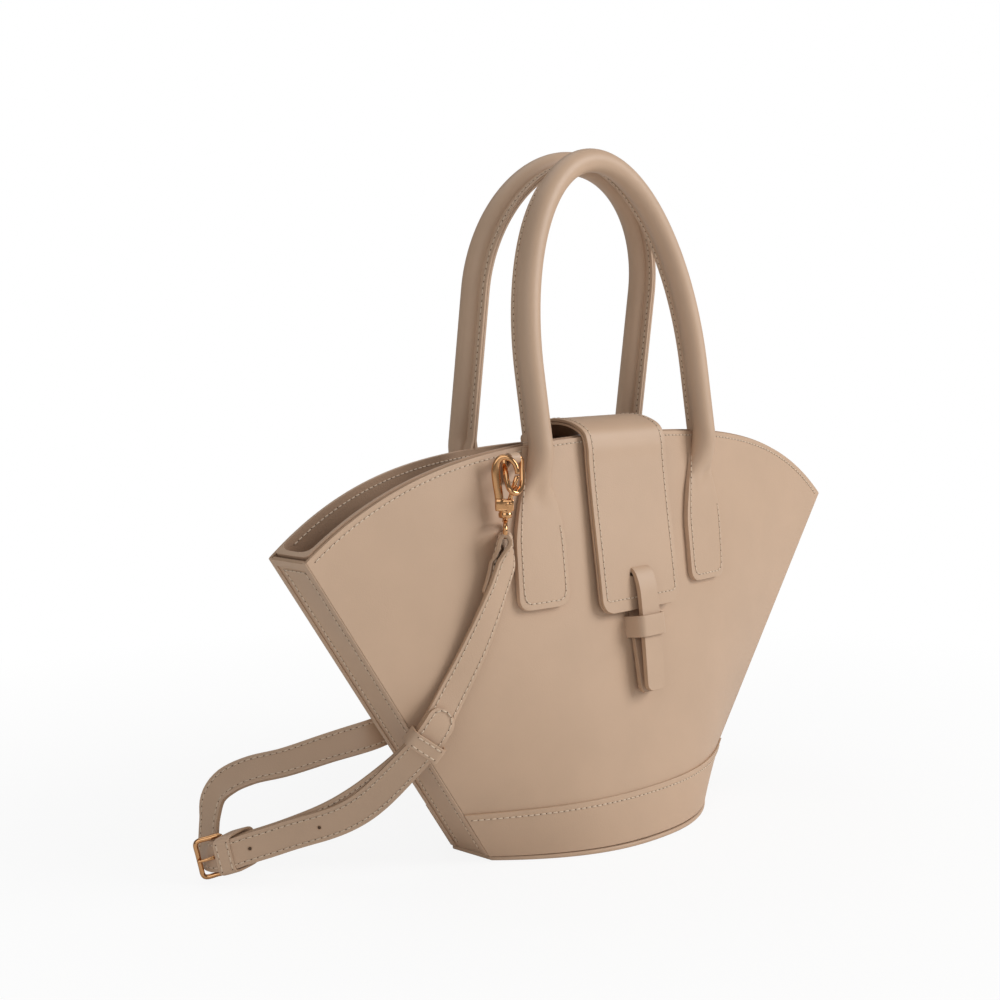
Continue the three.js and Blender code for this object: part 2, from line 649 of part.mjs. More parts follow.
for (const [side, turned] of [['front', false], ['back', true]]) {
  add(`${side}_d_ring`, dRing(), gold, turned);
  add(`${side}_ring_tab`, ringTab(), tan, turned);
  add(`${side}_hook_body`, hookBody(), gold, turned);
  add(`${side}_hook_gate`, hookGate(), gold, turned);
  add(`${side}_hook_rivet`, hookRivet(), gold, turned);
  add(`${side}_hook_eye`, hookEye(), gold, turned);
}

// Strap: flat ribbons through stations of a centre point and a face direction
function strapStations(route, spacing) {
  const curve = new THREE.CatmullRomCurve3(route.map(([point]) => new THREE.Vector3(...point)));
  const steps = Math.round(curve.getLength() / spacing);
  return Array.from({ length: steps + 1 }, (_, i) => {
    const t = i / steps;
    const place = curve.getUtoTmapping(t) * (route.length - 1);
    const k = Math.min(Math.floor(place), route.length - 2);
    const looks = new THREE.Vector3(...route[k][1]).normalize()
      .lerp(new THREE.Vector3(...route[k + 1][1]).normalize(), place - k);
    return { centre: curve.getPointAt(t), tangent: curve.getTangentAt(t), looks };
  });
}

function squared(station) {
  const looks = station.looks.clone().addScaledVector(station.tangent, -station.looks.dot(station.tangent)).normalize();
  return { ...station, looks, wide: new THREE.Vector3().crossVectors(station.tangent, looks) };
}

function ribbon(stations, thickness, width = strapWidth) {
  return loft(stations.map((station) => [[-1, -1], [1, -1], [1, 1], [-1, 1]].map(([a, b]) => station.centre.clone()
    .addScaledVector(station.wide, (a * width) / 2).addScaledVector(station.looks, (b * thickness) / 2))));
}

// Buckle frame of reference: along the strap to the bag, up the strap's width, and out of its face
const buckleUp = new THREE.Vector3(0, 0, 1).addScaledVector(buckleAlong, -buckleAlong.z).normalize();
const buckleOut = new THREE.Vector3().crossVectors(buckleAlong, buckleUp);

function atBuckle(along, up, out) {
  return buckleCentre.clone().addScaledVector(buckleAlong, along)
    .addScaledVector(buckleUp, up).addScaledVector(buckleOut, out);
}

const buckleFrame = new THREE.Matrix4().makeBasis(buckleAlong, buckleUp, buckleOut).setPosition(buckleCentre);
const strapEnd = atBuckle(3.3, 0, 0);
const outward = buckleOut.toArray();
const buckleStations = strapStations([...buckleRoute, [strapEnd.toArray(), outward]], 9.4).map(squared);
add('strap_buckle_piece', ribbon(buckleStations, strapThickness), tan);

// The long piece: its tail lies over the buckle piece, then goes through the buckle and round behind the bag
const tailFirst = 9;
const tailLast = buckleStations.length - 2;
const tail = buckleStations.slice(tailFirst, tailLast).map((station) => ({
  ...station,
  centre: station.centre.clone().addScaledVector(station.looks, layerOffset),
}));
const through = [[8.5, 0, 3.1], [4, 0, 4], [0, 0, 4.1], [-4, 0, 2], [-7.6, 0, -1.6], [-9, 1.2, -6], [-7, 5, -11]]
  .map((place) => atBuckle(...place).toArray());
const throughLooks = [outward, outward, [-0.7, -0.7, 0], [-0.93, -0.35, 0], [-1, -0.08, 0.05], [-1, 0.12, 0.1],
  [-1, 0.1, 0.25]];
const longStations = strapStations(
  [...tail.map((s) => [s.centre.toArray(), s.looks.toArray()]), ...through.map((p, i) => [p, throughLooks[i]]), ...longRoute],
  8,
).map(squared);
const prongSlot = block([-10.4, -1.5, -3.4], [2.8, 1.5, 8]).applyMatrix4(buckleFrame);
add('strap_long_piece', cut(ribbon(longStations, strapThickness), prongSlot), tan);

// Buckle frame and prong
function buckle() {
  const corner = 2;
  const [far, top] = [-buckleReach, buckleHalf];
  const outline = [[0, 0], [0, top - corner], [-corner * 0.3, top - corner * 0.3], [-corner, top], [far / 2, top],
    [far + corner, top], [far + corner * 0.3, top - corner * 0.3], [far, top - corner], [far, 0]];
  const lower = outline.slice(1, -1).reverse().map(([along, up]) => [along, -up]);
  const points = [...outline, ...lower].map(([along, up]) => atBuckle(along, up, 0));
  return wireLoop(points, buckleOut, buckleWire, 40);
}

function prong() {
  const hub = rod(prongHub, [0, -1, 0], [0, 1, 0]);
  const bar = rod(0.85, [-1.6, 0, 0.7], [-buckleReach - 1, 0, buckleWire + 1.3], 8);
  const bore = rod(prongBore, [0, -3, 0], [0, 3, 0]);
  return cut(join(hub, bar), bore).applyMatrix4(buckleFrame);
}
add('buckle_frame', buckle(), gold);
add('buckle_prong', prong(), gold);

// Leather loops round both layers of the strap
function strapLoop(frame, inner, outer) {
  const wall = block([0, -loopHalf - loopWall, inner - loopWall], [loopLength, loopHalf + loopWall, outer + loopWall]);
  const hole = block([-1, -loopHalf, inner], [loopLength + 1, loopHalf, outer]);
  return cut(wall, hole).applyMatrix4(frame);
}
// The keeper by the buckle leans along the strap, so that its front lies over the buckle's bar
const fixedFrame = buckleFrame.clone().multiply(new THREE.Matrix4().makeTranslation(3.5, 0, 0))
  .multiply(new THREE.Matrix4().makeShear(0, 0, 0, 0, -1.44, 0));
add('fixed_keeper', strapLoop(fixedFrame, -1.9, 5.4), tan);

const slideStation = buckleStations[tailFirst + 2];
const slideAlong = slideStation.tangent.clone().negate();
const slideFrame = new THREE.Matrix4()
  .makeBasis(slideAlong, new THREE.Vector3().crossVectors(slideStation.looks, slideAlong), slideStation.looks)
  .setPosition(slideStation.centre.clone().addScaledVector(slideAlong, -loopLength / 2));
add('sliding_keeper', strapLoop(slideFrame, -2.5, 5.5), tan);

export default bag;
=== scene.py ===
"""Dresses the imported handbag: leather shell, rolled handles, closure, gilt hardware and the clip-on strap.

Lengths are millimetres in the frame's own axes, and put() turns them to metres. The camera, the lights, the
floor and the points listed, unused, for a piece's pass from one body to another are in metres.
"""

import bpy
import numpy as np
from mathutils import Matrix


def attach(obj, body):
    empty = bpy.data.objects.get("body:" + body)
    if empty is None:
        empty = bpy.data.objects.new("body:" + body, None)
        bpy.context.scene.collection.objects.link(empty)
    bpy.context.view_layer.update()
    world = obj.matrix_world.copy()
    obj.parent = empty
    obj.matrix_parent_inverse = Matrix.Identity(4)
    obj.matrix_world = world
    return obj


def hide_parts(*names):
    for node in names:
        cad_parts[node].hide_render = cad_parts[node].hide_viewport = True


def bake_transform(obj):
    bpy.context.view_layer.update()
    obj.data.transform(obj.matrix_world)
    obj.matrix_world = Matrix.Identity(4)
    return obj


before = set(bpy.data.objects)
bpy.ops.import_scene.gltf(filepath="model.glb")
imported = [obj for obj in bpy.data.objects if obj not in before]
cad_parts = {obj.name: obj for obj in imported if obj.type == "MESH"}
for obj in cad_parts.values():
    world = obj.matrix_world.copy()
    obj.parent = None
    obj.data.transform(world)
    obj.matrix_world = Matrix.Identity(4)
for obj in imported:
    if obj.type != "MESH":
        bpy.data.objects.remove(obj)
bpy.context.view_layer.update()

bl_info = {
    "name": "Fan-shaped handbag",
    "version": (1, 0, 0),
    "blender": (4, 5, 0),
    "location": "View3D > Sidebar > Handbag",
    "description": "Builds the leather, thread, hardware and strap of a handbag on its packed frame",
    "category": "Add Mesh",
}


# Properties


def linear(code):
    """An sRGB hex code as linear red, green and blue."""
    values = np.array([int(code[i:i + 2], 16) for i in (1, 3, 5)]) / 255
    return tuple(np.where(values <= 0.04045, values / 12.92, ((values + 0.055) / 1.055) ** 2.4))


def length(name, description, size):
    """A length property, written in millimetres and kept in metres."""
    return bpy.props.FloatProperty(name=name, description=description, default=size / 1000, unit="LENGTH")


def colour(name, description, code):
    """A colour property, written as an sRGB hex code."""
    return bpy.props.FloatVectorProperty(name=name, description=description, default=linear(code),
                                         subtype="COLOR", min=0, max=1)


class HANDBAG_PG_sizes(bpy.types.PropertyGroup):
    """Sizes of the bag's pieces."""
    top_half: length("Half width at the mouth", "From the middle to a top corner", 203)
    base_half: length("Half width at the base", "From the middle to a base corner", 85)
    corner_height: length("Corner height", "Height of the top corners", 162)
    middle_height: length("Middle height", "Height of the rim in the middle", 209)
    gusset_half: length("Half depth of the gusset", "From the middle to a side seam", 12.8)
    mouth_bulge: length("Mouth bulge", "How far the rim bows out in the middle", 9.7)
    base_bulge: length("Base bulge", "How far the foot bows out in the middle", 38)
    leather: length("Leather thickness", "Thickness of the panels", 1.6)
    band_height: length("Band height", "Height of the lower band", 27.5)
    seam: length("Seam width", "Width of the flat welt along each side seam", 2.9)
    handle_half: length("Handle half spacing", "From the middle to a handle leg", 66)
    roll_radius: length("Roll radius", "Radius of the rolled handle", 6)
    fin_reach: length("Fin reach", "From the roll's centre to the fin's edge", 10.2)
    fin_half: length("Fin half thickness", "Half the thickness of the sewn fin", 1.5)
    tab_half: length("Tab half width", "Half the width of a handle's sewn end", 16.4)
    tab_shift: length("Tab shift", "How far a sewn end lies to the left of its handle's leg", 1.6)
    tab_low: length("Tab bottom", "Height of the lower end of a handle's sewn end", 127)
    flap_half: length("Flap half width", "Half the width of the closing flap", 31.2)
    flap_root: length("Flap root half width", "Half the width of the flap where it is sewn to the back", 22.5)
    back_drop: length("Back rim drop", "How far the middle of the back rim lies below the front one", 5.5)
    tongue_half: length("Tongue half width", "Half the width of the closing tongue", 7)
    strap_width: length("Strap width", "Width of the clip-on strap", 15)
    strap_thickness: length("Strap thickness", "Thickness of the clip-on strap", 2)
    stitch_pitch: length("Stitch pitch", "From one stitch to the next", 3.2)
    stitch_length: length("Stitch length", "Length of the thread that shows in one stitch", 2.5)
    thread: length("Thread thickness", "Thickness of the sewing thread", 0.8)


class HANDBAG_PG_colours(bpy.types.PropertyGroup):
    """Colours of the bag's finishes."""
    leather: colour("Leather", "Smooth taupe calf leather", "#c6a88e")
    edge: colour("Leather edge", "Painted cut edges of the leather", "#b8987c")
    # Painted shade: the lining is drawn darker than the leather for the shade inside the bag; the inside is
    # the same leather as the outside
    lining: colour("Lining", "Suede side of the inner leather", "#b2937a")
    thread: colour("Thread", "Waxed sewing thread", "#d9c3ab")
    # Painted shade: the dark colour of the dots and discs set where needle holes and punched holes show
    # shadow
    hole: colour("Needle hole", "The dark of a needle hole", "#5c4737")
    gilt: colour("Gilt", "Pale warm gilding on the hardware", "#d9a574")
    board: colour("Board", "Grey-brown stiffening board", "#9a8468")
    cord: colour("Cord", "Unbleached cord inside the handles", "#d9d2c4")
    floor: colour("Floor", "White paper under the bag", "#f7f6f4")


def mm(name):
    """One of the bag's sizes in millimetres."""
    return getattr(bpy.context.scene.handbag_sizes, name) * 1000


def tint(name):
    """One of the bag's colours, opaque."""
    return (*getattr(bpy.context.scene.handbag_colours, name), 1.0)


# Surfaces and lines


X_AXIS = np.array([1.0, 0, 0])


def unit(vectors):
    """The vectors at length one."""
    return vectors / np.maximum(np.linalg.norm(vectors, axis=-1, keepdims=True), 1e-9)


def smoothstep(value, low, high):
    """Zero below low, one above high and an S-curve between them."""
    t = np.clip((value - low) / (high - low), 0, 1)
    return t * t * (3 - 2 * t)


def turned(points):
    """The points turned half round about Z."""
    return points * np.array([-1.0, -1.0, 1.0])


def both_sides():
    """Each side's name, what moves the front's points to it, and how much lower its rim is in the middle."""
    return ("front", np.asarray, 0.0), ("back", turned, mm("back_drop"))


def turns(count):
    """Equal steps of angle once round a circle."""
    return np.linspace(0, 2 * np.pi, count, endpoint=False)


def rim_height(u):
    """Height of the rim across the panel: it drops with u squared and u to the fourth."""
    drop = mm("middle_height") - mm("corner_height")
    return mm("middle_height") - drop * (0.33 * u**2 + 0.67 * u**4)


def side_x(t):
    """Half width of the panel at the share t of its height."""
    return mm("base_half") + (mm("top_half") - mm("base_half")) * t


def face_point(u, t):
    """The front panel's face: straight lines from the boat-shaped base, t = 0, to the arched rim, t = 1."""
    low = -base_depth(u)
    high = -(mm("gusset_half") + mm("mouth_bulge") * (1 - u * u))
    return np.stack([u * side_x(t), low + (high - low) * t, t * rim_height(u)], axis=-1)


def face_normal(u, t):
    """The outward normal of the front panel's face, from neighbouring points on it."""
    step = 0.002
    across = face_point(u + step, t) - face_point(u - step, t)
    upward = face_point(u, t + step) - face_point(u, t - step)
    return unit(np.cross(across, upward))


def face(u, t, offset=0.0):
    """A point off the front panel's face along its normal."""
    u, t, offset = (np.asarray(v, float) for v in np.broadcast_arrays(u, t, offset))
    return face_point(u, t) + face_normal(u, t) * offset[..., None]


def face_place(x, z):
    """The u and t of the panel's face at a place across and up, found by repeated correction."""
    x, z = np.broadcast_arrays(np.asarray(x, float), np.asarray(z, float))
    t = z / mm("middle_height")
    for _ in range(30):
        u = x / side_x(t)
        t = z / rim_height(u)
    return u, t


def face_at(x, z, offset=0.0):
    """A point off the front panel's face, given across and up."""
    return face(*face_place(x, z), offset)


def gusset_slope():
    """The outward normal of the left gusset."""
    return unit(np.array([-mm("corner_height"), 0, -(mm("top_half") - mm("base_half"))]))


def gusset_sag(v, z):
    """How far the gusset's sheet lies in or out of its plane, across by v from -1 to 1 and up by z."""
    top = mm("corner_height")
    return -0.9 * (1 - v**2) * smoothstep(z, 2, 40) * (1 - smoothstep(z, top - 12, top - 2))


def base_depth(u):
    """Half depth of the boat-shaped base across its width."""
    return mm("gusset_half") + mm("base_bulge") * (1 - np.abs(u) ** 2.3)


def run_of(line):
    """The distance along a polyline at each of its points."""
    return np.concatenate([[0], np.cumsum(np.linalg.norm(np.diff(line, axis=0), axis=1))])


def along(values, places, stops=None):
    """Rows of values read at places between their stops, which are 0, 1, 2 and so on unless given."""
    values = np.asarray(values, float)
    stops = np.arange(len(values)) if stops is None else stops
    return np.stack([np.interp(places, stops, column) for column in values.T], axis=1)


def evenly(points, spacing):
    """A polyline's points at equal distances, their distances along it and those of the given points."""
    run = run_of(points)
    cuts = np.linspace(0, run[-1], max(2, round(run[-1] / spacing)) + 1)
    return along(points, cuts, run), cuts, run


def smooth_line(points, spacing, closed=False):
    """A centripetal Catmull-Rom curve cut into equal lengths, and each cut's place in the list of points."""
    p = np.asarray(points, float)
    ends = (p[-1:], p[:2]) if closed else (2 * p[:1] - p[1:2], 2 * p[-1:] - p[-2:-1])
    q = np.vstack([ends[0], p, ends[1]])
    a, b, c, d = q[:-3], q[1:-2], q[2:-1], q[3:]
    k, m, n = (np.sqrt(np.linalg.norm(y - x, axis=1))[:, None] for x, y in ((a, b), (b, c), (c, d)))
    leave = ((b - a) / k - (c - a) / (k + m) + (c - b) / m) * m
    arrive = ((c - b) / m - (d - b) / (m + n) + (d - c) / n) * m
    s = np.linspace(0, 1, 41)[None, :-1, None]
    b, c, leave, arrive = (v[:, None, :] for v in (b, c, leave, arrive))
    fine = ((2 * s**3 - 3 * s**2 + 1) * b + (s**3 - 2 * s**2 + s) * leave
            + (3 * s**2 - 2 * s**3) * c + (s**3 - s**2) * arrive).reshape(-1, p.shape[1])
    fine = np.vstack([fine, p[:1] if closed else p[-1:]])
    place = np.linspace(0, len(b), len(fine))
    line, cuts, run = evenly(fine, spacing)
    places = np.interp(cuts, run, place)
    return (line[:-1], places[:-1]) if closed else (line, places)


def tangents(line, closed=False):
    """Unit directions along a line of points."""
    if closed:
        return unit(np.roll(line, -1, axis=0) - np.roll(line, 1, axis=0))
    return unit(np.gradient(line, axis=0))


def spread(vector, line):
    """The same vector at every point of a line."""
    return np.broadcast_to(np.asarray(vector, float), line.shape)


def side_outs(line):
    """Outward directions of a line that lies square to X."""
    heading = tangents(line)
    return unit(np.stack([0 * heading[:, 0], heading[:, 2], -heading[:, 1]], axis=1))


def mirrored(half):
    """Half an outline from its first point to its last, with the other half after it."""
    return half + [(a, -b) for a, b in half[-2:0:-1]]


def outwards(ways, line, centre):
    """Directions on a line round a centre, turned over if they look inwards."""
    return ways * np.sign(np.sum(ways * (line - centre), axis=1).mean())


def round_end(distance, half, radius):
    """Half widths of a strip at distances from its end, where its corners have the given radius."""
    rest = np.clip(radius - distance, 0, radius - 0.01)
    return half - radius + np.sqrt(radius**2 - rest**2)


# Meshes


def quads_of(index):
    """The quads of a grid of point numbers."""
    return np.stack([index[:-1, :-1], index[1:, :-1], index[1:, 1:], index[:-1, 1:]], axis=-1)


def ring_of(index):
    """The closed run of numbers round a grid's border, in the sense of its quads."""
    return np.concatenate([index[:, 0], index[-1, 1:], index[-2::-1, -1], index[0, -2:0:-1]])


def plate(near, far, wrap=False, hole=None):
    """A closed sheet between two grids of points: both faces, and walls round the border and round a hole.

    wrap joins the last row to the first. The third result is 0 for faces and 1 for cut edges."""
    rows, columns = near.shape[:2]
    count = rows * columns
    index = np.arange(count).reshape(rows, columns)
    index = np.vstack([index, index[:1]]) if wrap else index
    quads = quads_of(index)
    keep = np.ones(quads.shape[:2], bool)
    borders = [index[:-1, 0], index[-1:0:-1, -1]] if wrap else [ring_of(index)]
    if hole:
        r0, r1, c0, c1 = hole
        keep[r0:r1, c0:c1] = False
        borders.append(ring_of(index[r0:r1 + 1, c0:c1 + 1])[::-1])
    quads = quads[keep]
    walls = [np.stack([np.roll(b, -1), b, b + count, np.roll(b, -1) + count], axis=-1) for b in borders]
    faces = np.vstack([quads, quads[:, ::-1] + count, *walls])
    kinds = np.repeat([0, 1], [2 * len(quads), sum(len(w) for w in walls)])
    return np.concatenate([near.reshape(-1, 3), far.reshape(-1, 3)]), faces.tolist(), kinds


def strip(line, sides, outs, half_width, thickness, columns=9, crown=0.0, wrap=False, hole=None):
    """A flat strip on a line: across by sides, half its thickness to each way of outs, a little crowned."""
    w = np.linspace(-1, 1, columns)
    half_width = np.broadcast_to(half_width, len(line))
    half = np.broadcast_to(thickness, len(line))[:, None, None] / 2
    sides, outs = (np.broadcast_to(v, line.shape)[:, None, :] for v in (sides, outs))
    middle = line[:, None, :] + sides * (half_width[:, None] * w)[..., None]
    lift = outs * half
    swell = outs * (crown * (1 - w**2))[None, :, None]
    return plate(middle + lift + swell, middle - lift, wrap, hole)


def skin(points, closed=False):
    """A closed skin on rows of section points, the last row joined to the first or both ends capped."""
    rows, columns = points.shape[:2]
    index = np.arange(rows * columns).reshape(rows, columns)
    index = np.vstack([index, index[:1]]) if closed else index
    index = np.hstack([index, index[:, :1]])
    faces = quads_of(index).reshape(-1, 4).tolist()
    if not closed:
        faces += [index[0, :-1].tolist(), index[-1, -2::-1].tolist()]
    return points.reshape(-1, 3), faces, np.zeros(len(faces), int)


def tube(line, across, outs, section, closed=False):
    """A closed section carried along a line, its first number by across and its second by outs."""
    section = np.broadcast_to(section, (len(line), *np.shape(section)[-2:]))
    across, outs = (np.broadcast_to(v, line.shape)[:, None, :] for v in (across, outs))
    return skin(line[:, None, :] + across * section[..., :1] + outs * section[..., 1:], closed)


def rounded(half_a, half_b, power, count):
    """A rounded rectangle as a superellipse of the given power."""
    circle = np.stack([np.cos(turns(count)), np.sin(turns(count))], axis=1)
    return np.sign(circle) * np.abs(circle) ** (2 / power) * [half_a, half_b]


def scaled(section, factors):
    """A section at each of the factors of its size."""
    return section * np.reshape(factors, (-1, 1, 1))


def moved(move, parts):
    """Parts with their points moved."""
    return [(move(points), *rest) for points, *rest in parts]


def wire(points, normal, radius, spacing, count=12):
    """Round wire on a closed flat line through the points."""
    line, _ = smooth_line(points, spacing, closed=True)
    normal = unit(np.asarray(normal, float))
    return tube(line, np.cross(tangents(line, True), normal), normal, rounded(radius, radius, 2, count), True)


def turning(start, end, profile, count=20):
    """A turned piece on the line from start to end; the profile lists shares of the line and radii."""
    start, end = np.asarray(start, float), np.asarray(end, float)
    axis = unit(end - start)
    helper = np.array([0, 0, 1.0]) if abs(axis[2]) < 0.9 else X_AXIS
    across = unit(np.cross(axis, helper))
    shares, radii = np.array(profile, float).T
    line = start + (end - start) * shares[:, None]
    return tube(line, across, np.cross(axis, across), scaled(rounded(1, 1, 2, count), radii))


# What a piece's name ends in, by its slot
SLOT_WORDS = {"tan_leather": "_leather", "lining_leather": "_lining_leather", "gold_metal": "_gilt"}


def put(name, parts, finishes, body, replaces=(), slot="tan_leather", bevel=0.0, segments=2,
        bevel_finish=-1):
    """Makes one object of closed parts, each turned to face out; a body given by name becomes its parent, and
    the parts it stands for are hidden.
    """
    points, faces, kinds, start = [], [], [], 0
    for vertices, polygons, kind in parts:
        fan = np.array([[p[0], p[i], p[i + 1]] for p in polygons for i in range(1, len(p) - 1)])
        a, b, c = (vertices[fan[:, i]] for i in range(3))
        if np.sum(a * np.cross(b, c)) < 0:
            polygons = [p[::-1] for p in polygons]
        points.append(vertices)
        faces += [[i + start for i in p] for p in polygons]
        kinds.append(kind)
        start += len(vertices)
    name = name if name.endswith(("stitches", "holes")) else name + SLOT_WORDS[slot]
    mesh = bpy.data.meshes.new(name)
    mesh.from_pydata((np.concatenate(points) / 1000).tolist(), [], faces)
    mesh.polygons.foreach_set("material_index", np.concatenate(kinds).astype(np.int32))
    mesh.polygons.foreach_set("use_smooth", np.ones(len(faces), bool))
    for finish in finishes:
        mesh.materials.append(finish)
    mesh.update()
    piece = bpy.data.objects.new(name, mesh)
    bpy.context.collection.objects.link(piece)
    if bevel:
        soften = piece.modifiers.new("rounded edges", "BEVEL")
        soften.width = bevel / 1000
        soften.segments = segments
        soften.limit_method = "ANGLE"
        soften.angle_limit = np.radians(38)
        soften.harden_normals = True
        soften.material = bevel_finish
    if isinstance(body, str):
        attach(piece, body)
    else:
        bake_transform(piece)
    if replaces:
        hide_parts(*replaces)
    return piece


def put_leather(name, parts, body="bag", nodes=None, **more):
    """Makes one leather object with painted edges, for the node of its own name unless others are given."""
    return put(name, parts, [finish("leather"), finish("edge")], body, nodes or [name], **more)


# Rings of a stitch's bead, as shares of its half length and radius, and of the dark dot of painted shade at a
# needle hole, as shares of its size
BEAD_RINGS = ((-1, 0.45), (-0.5, 0.95), (0.5, 0.95), (1, 0.45))
SHADE_DOT_RINGS = ((0.95, 0.0), (0.6, 0.7))
SHADE_DOT_SIZE = [0.36, 0.3, 0.16]
RING_SIDES = 6


def sew(name, rows, body):
    """Saddle stitches on rows of points and normals: a low bead for each stitch and, at its ends, a dark dot
    of painted shade for the needle hole.

    The stitch axes are the row's direction, the normal and their cross product."""
    turn = turns(RING_SIDES)
    bead = np.array([[x, r * np.cos(a), r * np.sin(a)] for x, r in BEAD_RINGS for a in turn])
    bead = bead * [mm("stitch_length") / 2, mm("thread") / 2, mm("thread") / 2]
    # A dark dot at each end of a stitch: painted shade for the needle hole
    shade_dot = np.array([[r * np.cos(a), r * np.sin(a), h] for r, h in SHADE_DOT_RINGS for a in turn]) * SHADE_DOT_SIZE
    parts = []
    for points, normals in rows:
        spots, cuts, run = evenly(points, mm("stitch_pitch"))
        normal = unit(along(normals, cuts, run))
        middles = (spots[1:] + spots[:-1]) / 2
        heading = unit(np.diff(spots, axis=0))
        up = unit(normal[1:] + normal[:-1])
        parts.append(scatter(bead, middles, heading, np.cross(up, heading), up, 0))
        way = tangents(spots)
        parts.append(scatter(shade_dot, spots, way, np.cross(normal, way), normal, 1))
    return put(name, parts, [finish("thread"), finish("hole")], body)


def scatter(shape, places, first, second, third, kind):
    """Copies of a small lofted shape of rings, set on frames of three directions."""
    points = places[:, None, :]
    for i, way in enumerate((first, second, third)):
        points = points + shape[None, :, i:i + 1] * way[:, None, :]
    rings = np.arange(len(shape)).reshape(-1, RING_SIDES)
    body = [[low[i - 1], low[i], high[i], high[i - 1]] for low, high in zip(rings[:-1], rings[1:])
            for i in np.roll(rings[0], -1)]
    body += [rings[0, ::-1], rings[-1]]
    faces = [[int(v) + k * len(shape) for v in f] for k in range(len(places)) for f in body]
    return points.reshape(-1, 3), faces, np.full(len(faces), kind)


# Finishes


def per_metre(size):
    """The scale of a pattern with a grain of the given millimetres, since Object coordinates are metres."""
    return 1000 / size


def fill(tree, item, inputs):
    """Sets or links a node's inputs by name or number; a two-part value is a node and its output."""
    for key, value in inputs.items():
        if isinstance(value, tuple) and isinstance(value[0], bpy.types.Node):
            tree.links.new(value[0].outputs[value[1]], item.inputs[key])
        else:
            item.inputs[key].default_value = value


def node(tree, kind, inputs, **settings):
    """Adds a shader node with its settings and fills its inputs."""
    item = tree.nodes.new(kind)
    for key, value in settings.items():
        setattr(item, key, value)
    fill(tree, item, inputs)
    return item


def seen_rays(tree):
    """A node and output that give one for camera and transmission rays and zero for the rest.

    Glossy rays are left out, so that the gilt reflects dim surroundings and keeps its dark tones."""
    path = tree.nodes.new("ShaderNodeLightPath")
    rays = {0: (path, "Is Camera Ray"), 1: (path, "Is Transmission Ray")}
    return node(tree, "ShaderNodeMath", rays, operation="MAXIMUM"), "Value"


def whiten(tree, share, lit, white, end):
    """Sends a lit shader, mixed with a plain white one by a share, to an output node."""
    mix = node(tree, "ShaderNodeMixShader", {"Fac": share, 1: (lit, 0), 2: (white, 0)})
    fill(tree, tree.nodes[end], {"Surface": (mix, "Shader")})


def new_finish(name):
    """An empty node material, its tree and its Principled shader."""
    material = bpy.data.materials.new(name)
    material.use_nodes = True
    return material, material.node_tree, material.node_tree.nodes["Principled BSDF"]


def clouded(name, base, drift, size):
    """A material whose colour drifts between two shades of the base in soft clouds, and its coordinates."""
    material, tree, shader = new_finish(name)
    at = (tree.nodes.new("ShaderNodeTexCoord"), "Object")
    clouds = {"Vector": at, "Scale": per_metre(size), "Detail": 3.0, "Roughness": 0.55}
    noise = node(tree, "ShaderNodeTexNoise", clouds)
    ramp = node(tree, "ShaderNodeValToRGB", {"Fac": (noise, "Fac")})
    for stop, place, share in zip(ramp.color_ramp.elements, (0.3, 0.7), (1 - drift, 1 + drift)):
        stop.position = place
        stop.color = (*np.minimum(np.array(base[:3]) * share, 1), 1)
    fill(tree, shader, {"Base Color": (ramp, "Color")})
    return material, tree, shader, at


def leather_finish(name, base, roughness, drift, pore, depth):
    """Calf leather: clouded dye, fine pores and faint creases in the bump, and a satin gloss that varies.

    Real pores are some 0.2 mm wide, too fine to show, so they are drawn coarser."""
    material, tree, shader, at = clouded(name, base, drift, 45)
    pores = node(tree, "ShaderNodeTexVoronoi", {"Vector": at, "Scale": per_metre(pore)})
    lines = {"Vector": at, "Scale": per_metre(5 * pore), "Detail": 6.0, "Roughness": 0.6}
    creases = node(tree, "ShaderNodeTexNoise", lines)
    relief = node(tree, "ShaderNodeMath", {0: (creases, "Fac"), 1: (pores, "Distance")}, operation="ADD")
    bump = node(tree, "ShaderNodeBump", {"Height": (relief, "Value"), "Strength": depth, "Distance": 0.0004})
    satin = {"Value": (creases, "Fac"), "To Min": roughness - 0.05, "To Max": roughness + 0.07}
    gloss = node(tree, "ShaderNodeMapRange", satin)
    fill(tree, shader, {"Normal": (bump, "Normal"), "Roughness": (gloss, "Result"),
                        "Specular IOR Level": 0.42})
    return material


def thread_finish(name, base):
    """Waxed thread: a fine twist in the bump and a soft sheen."""
    material, tree, shader, at = clouded(name, base, 0.06, 2.5)
    # At scale 1 a wave repeats in 2 pi / 20 of a unit, and a strand of the twist is 0.35 mm wide
    scale = 2 * np.pi / 20 * per_metre(0.35)
    twist = node(tree, "ShaderNodeTexWave", {"Vector": at, "Scale": scale, "Distortion": 1.0})
    bump = node(tree, "ShaderNodeBump", {"Height": (twist, "Fac"), "Strength": 0.25, "Distance": 0.0001})
    fill(tree, shader, {"Normal": (bump, "Normal"), "Roughness": 0.55, "Sheen Weight": 0.15})
    return material


def gilt_finish(name, base):
    """Polished gilt metal: fine wear in the gloss and a faint unevenness in the bump."""
    material, tree, shader, at = clouded(name, base, 0.05, 5.5)
    wear = node(tree, "ShaderNodeTexNoise", {"Vector": at, "Scale": per_metre(1.4), "Detail": 4.0})
    gloss = node(tree, "ShaderNodeMapRange", {"Value": (wear, "Fac"), "To Min": 0.06, "To Max": 0.14})
    bump = node(tree, "ShaderNodeBump", {"Height": (wear, "Fac"), "Strength": 0.03, "Distance": 0.0002})
    fill(tree, shader, {"Normal": (bump, "Normal"), "Roughness": (gloss, "Result"), "Metallic": 1.0})
    return material


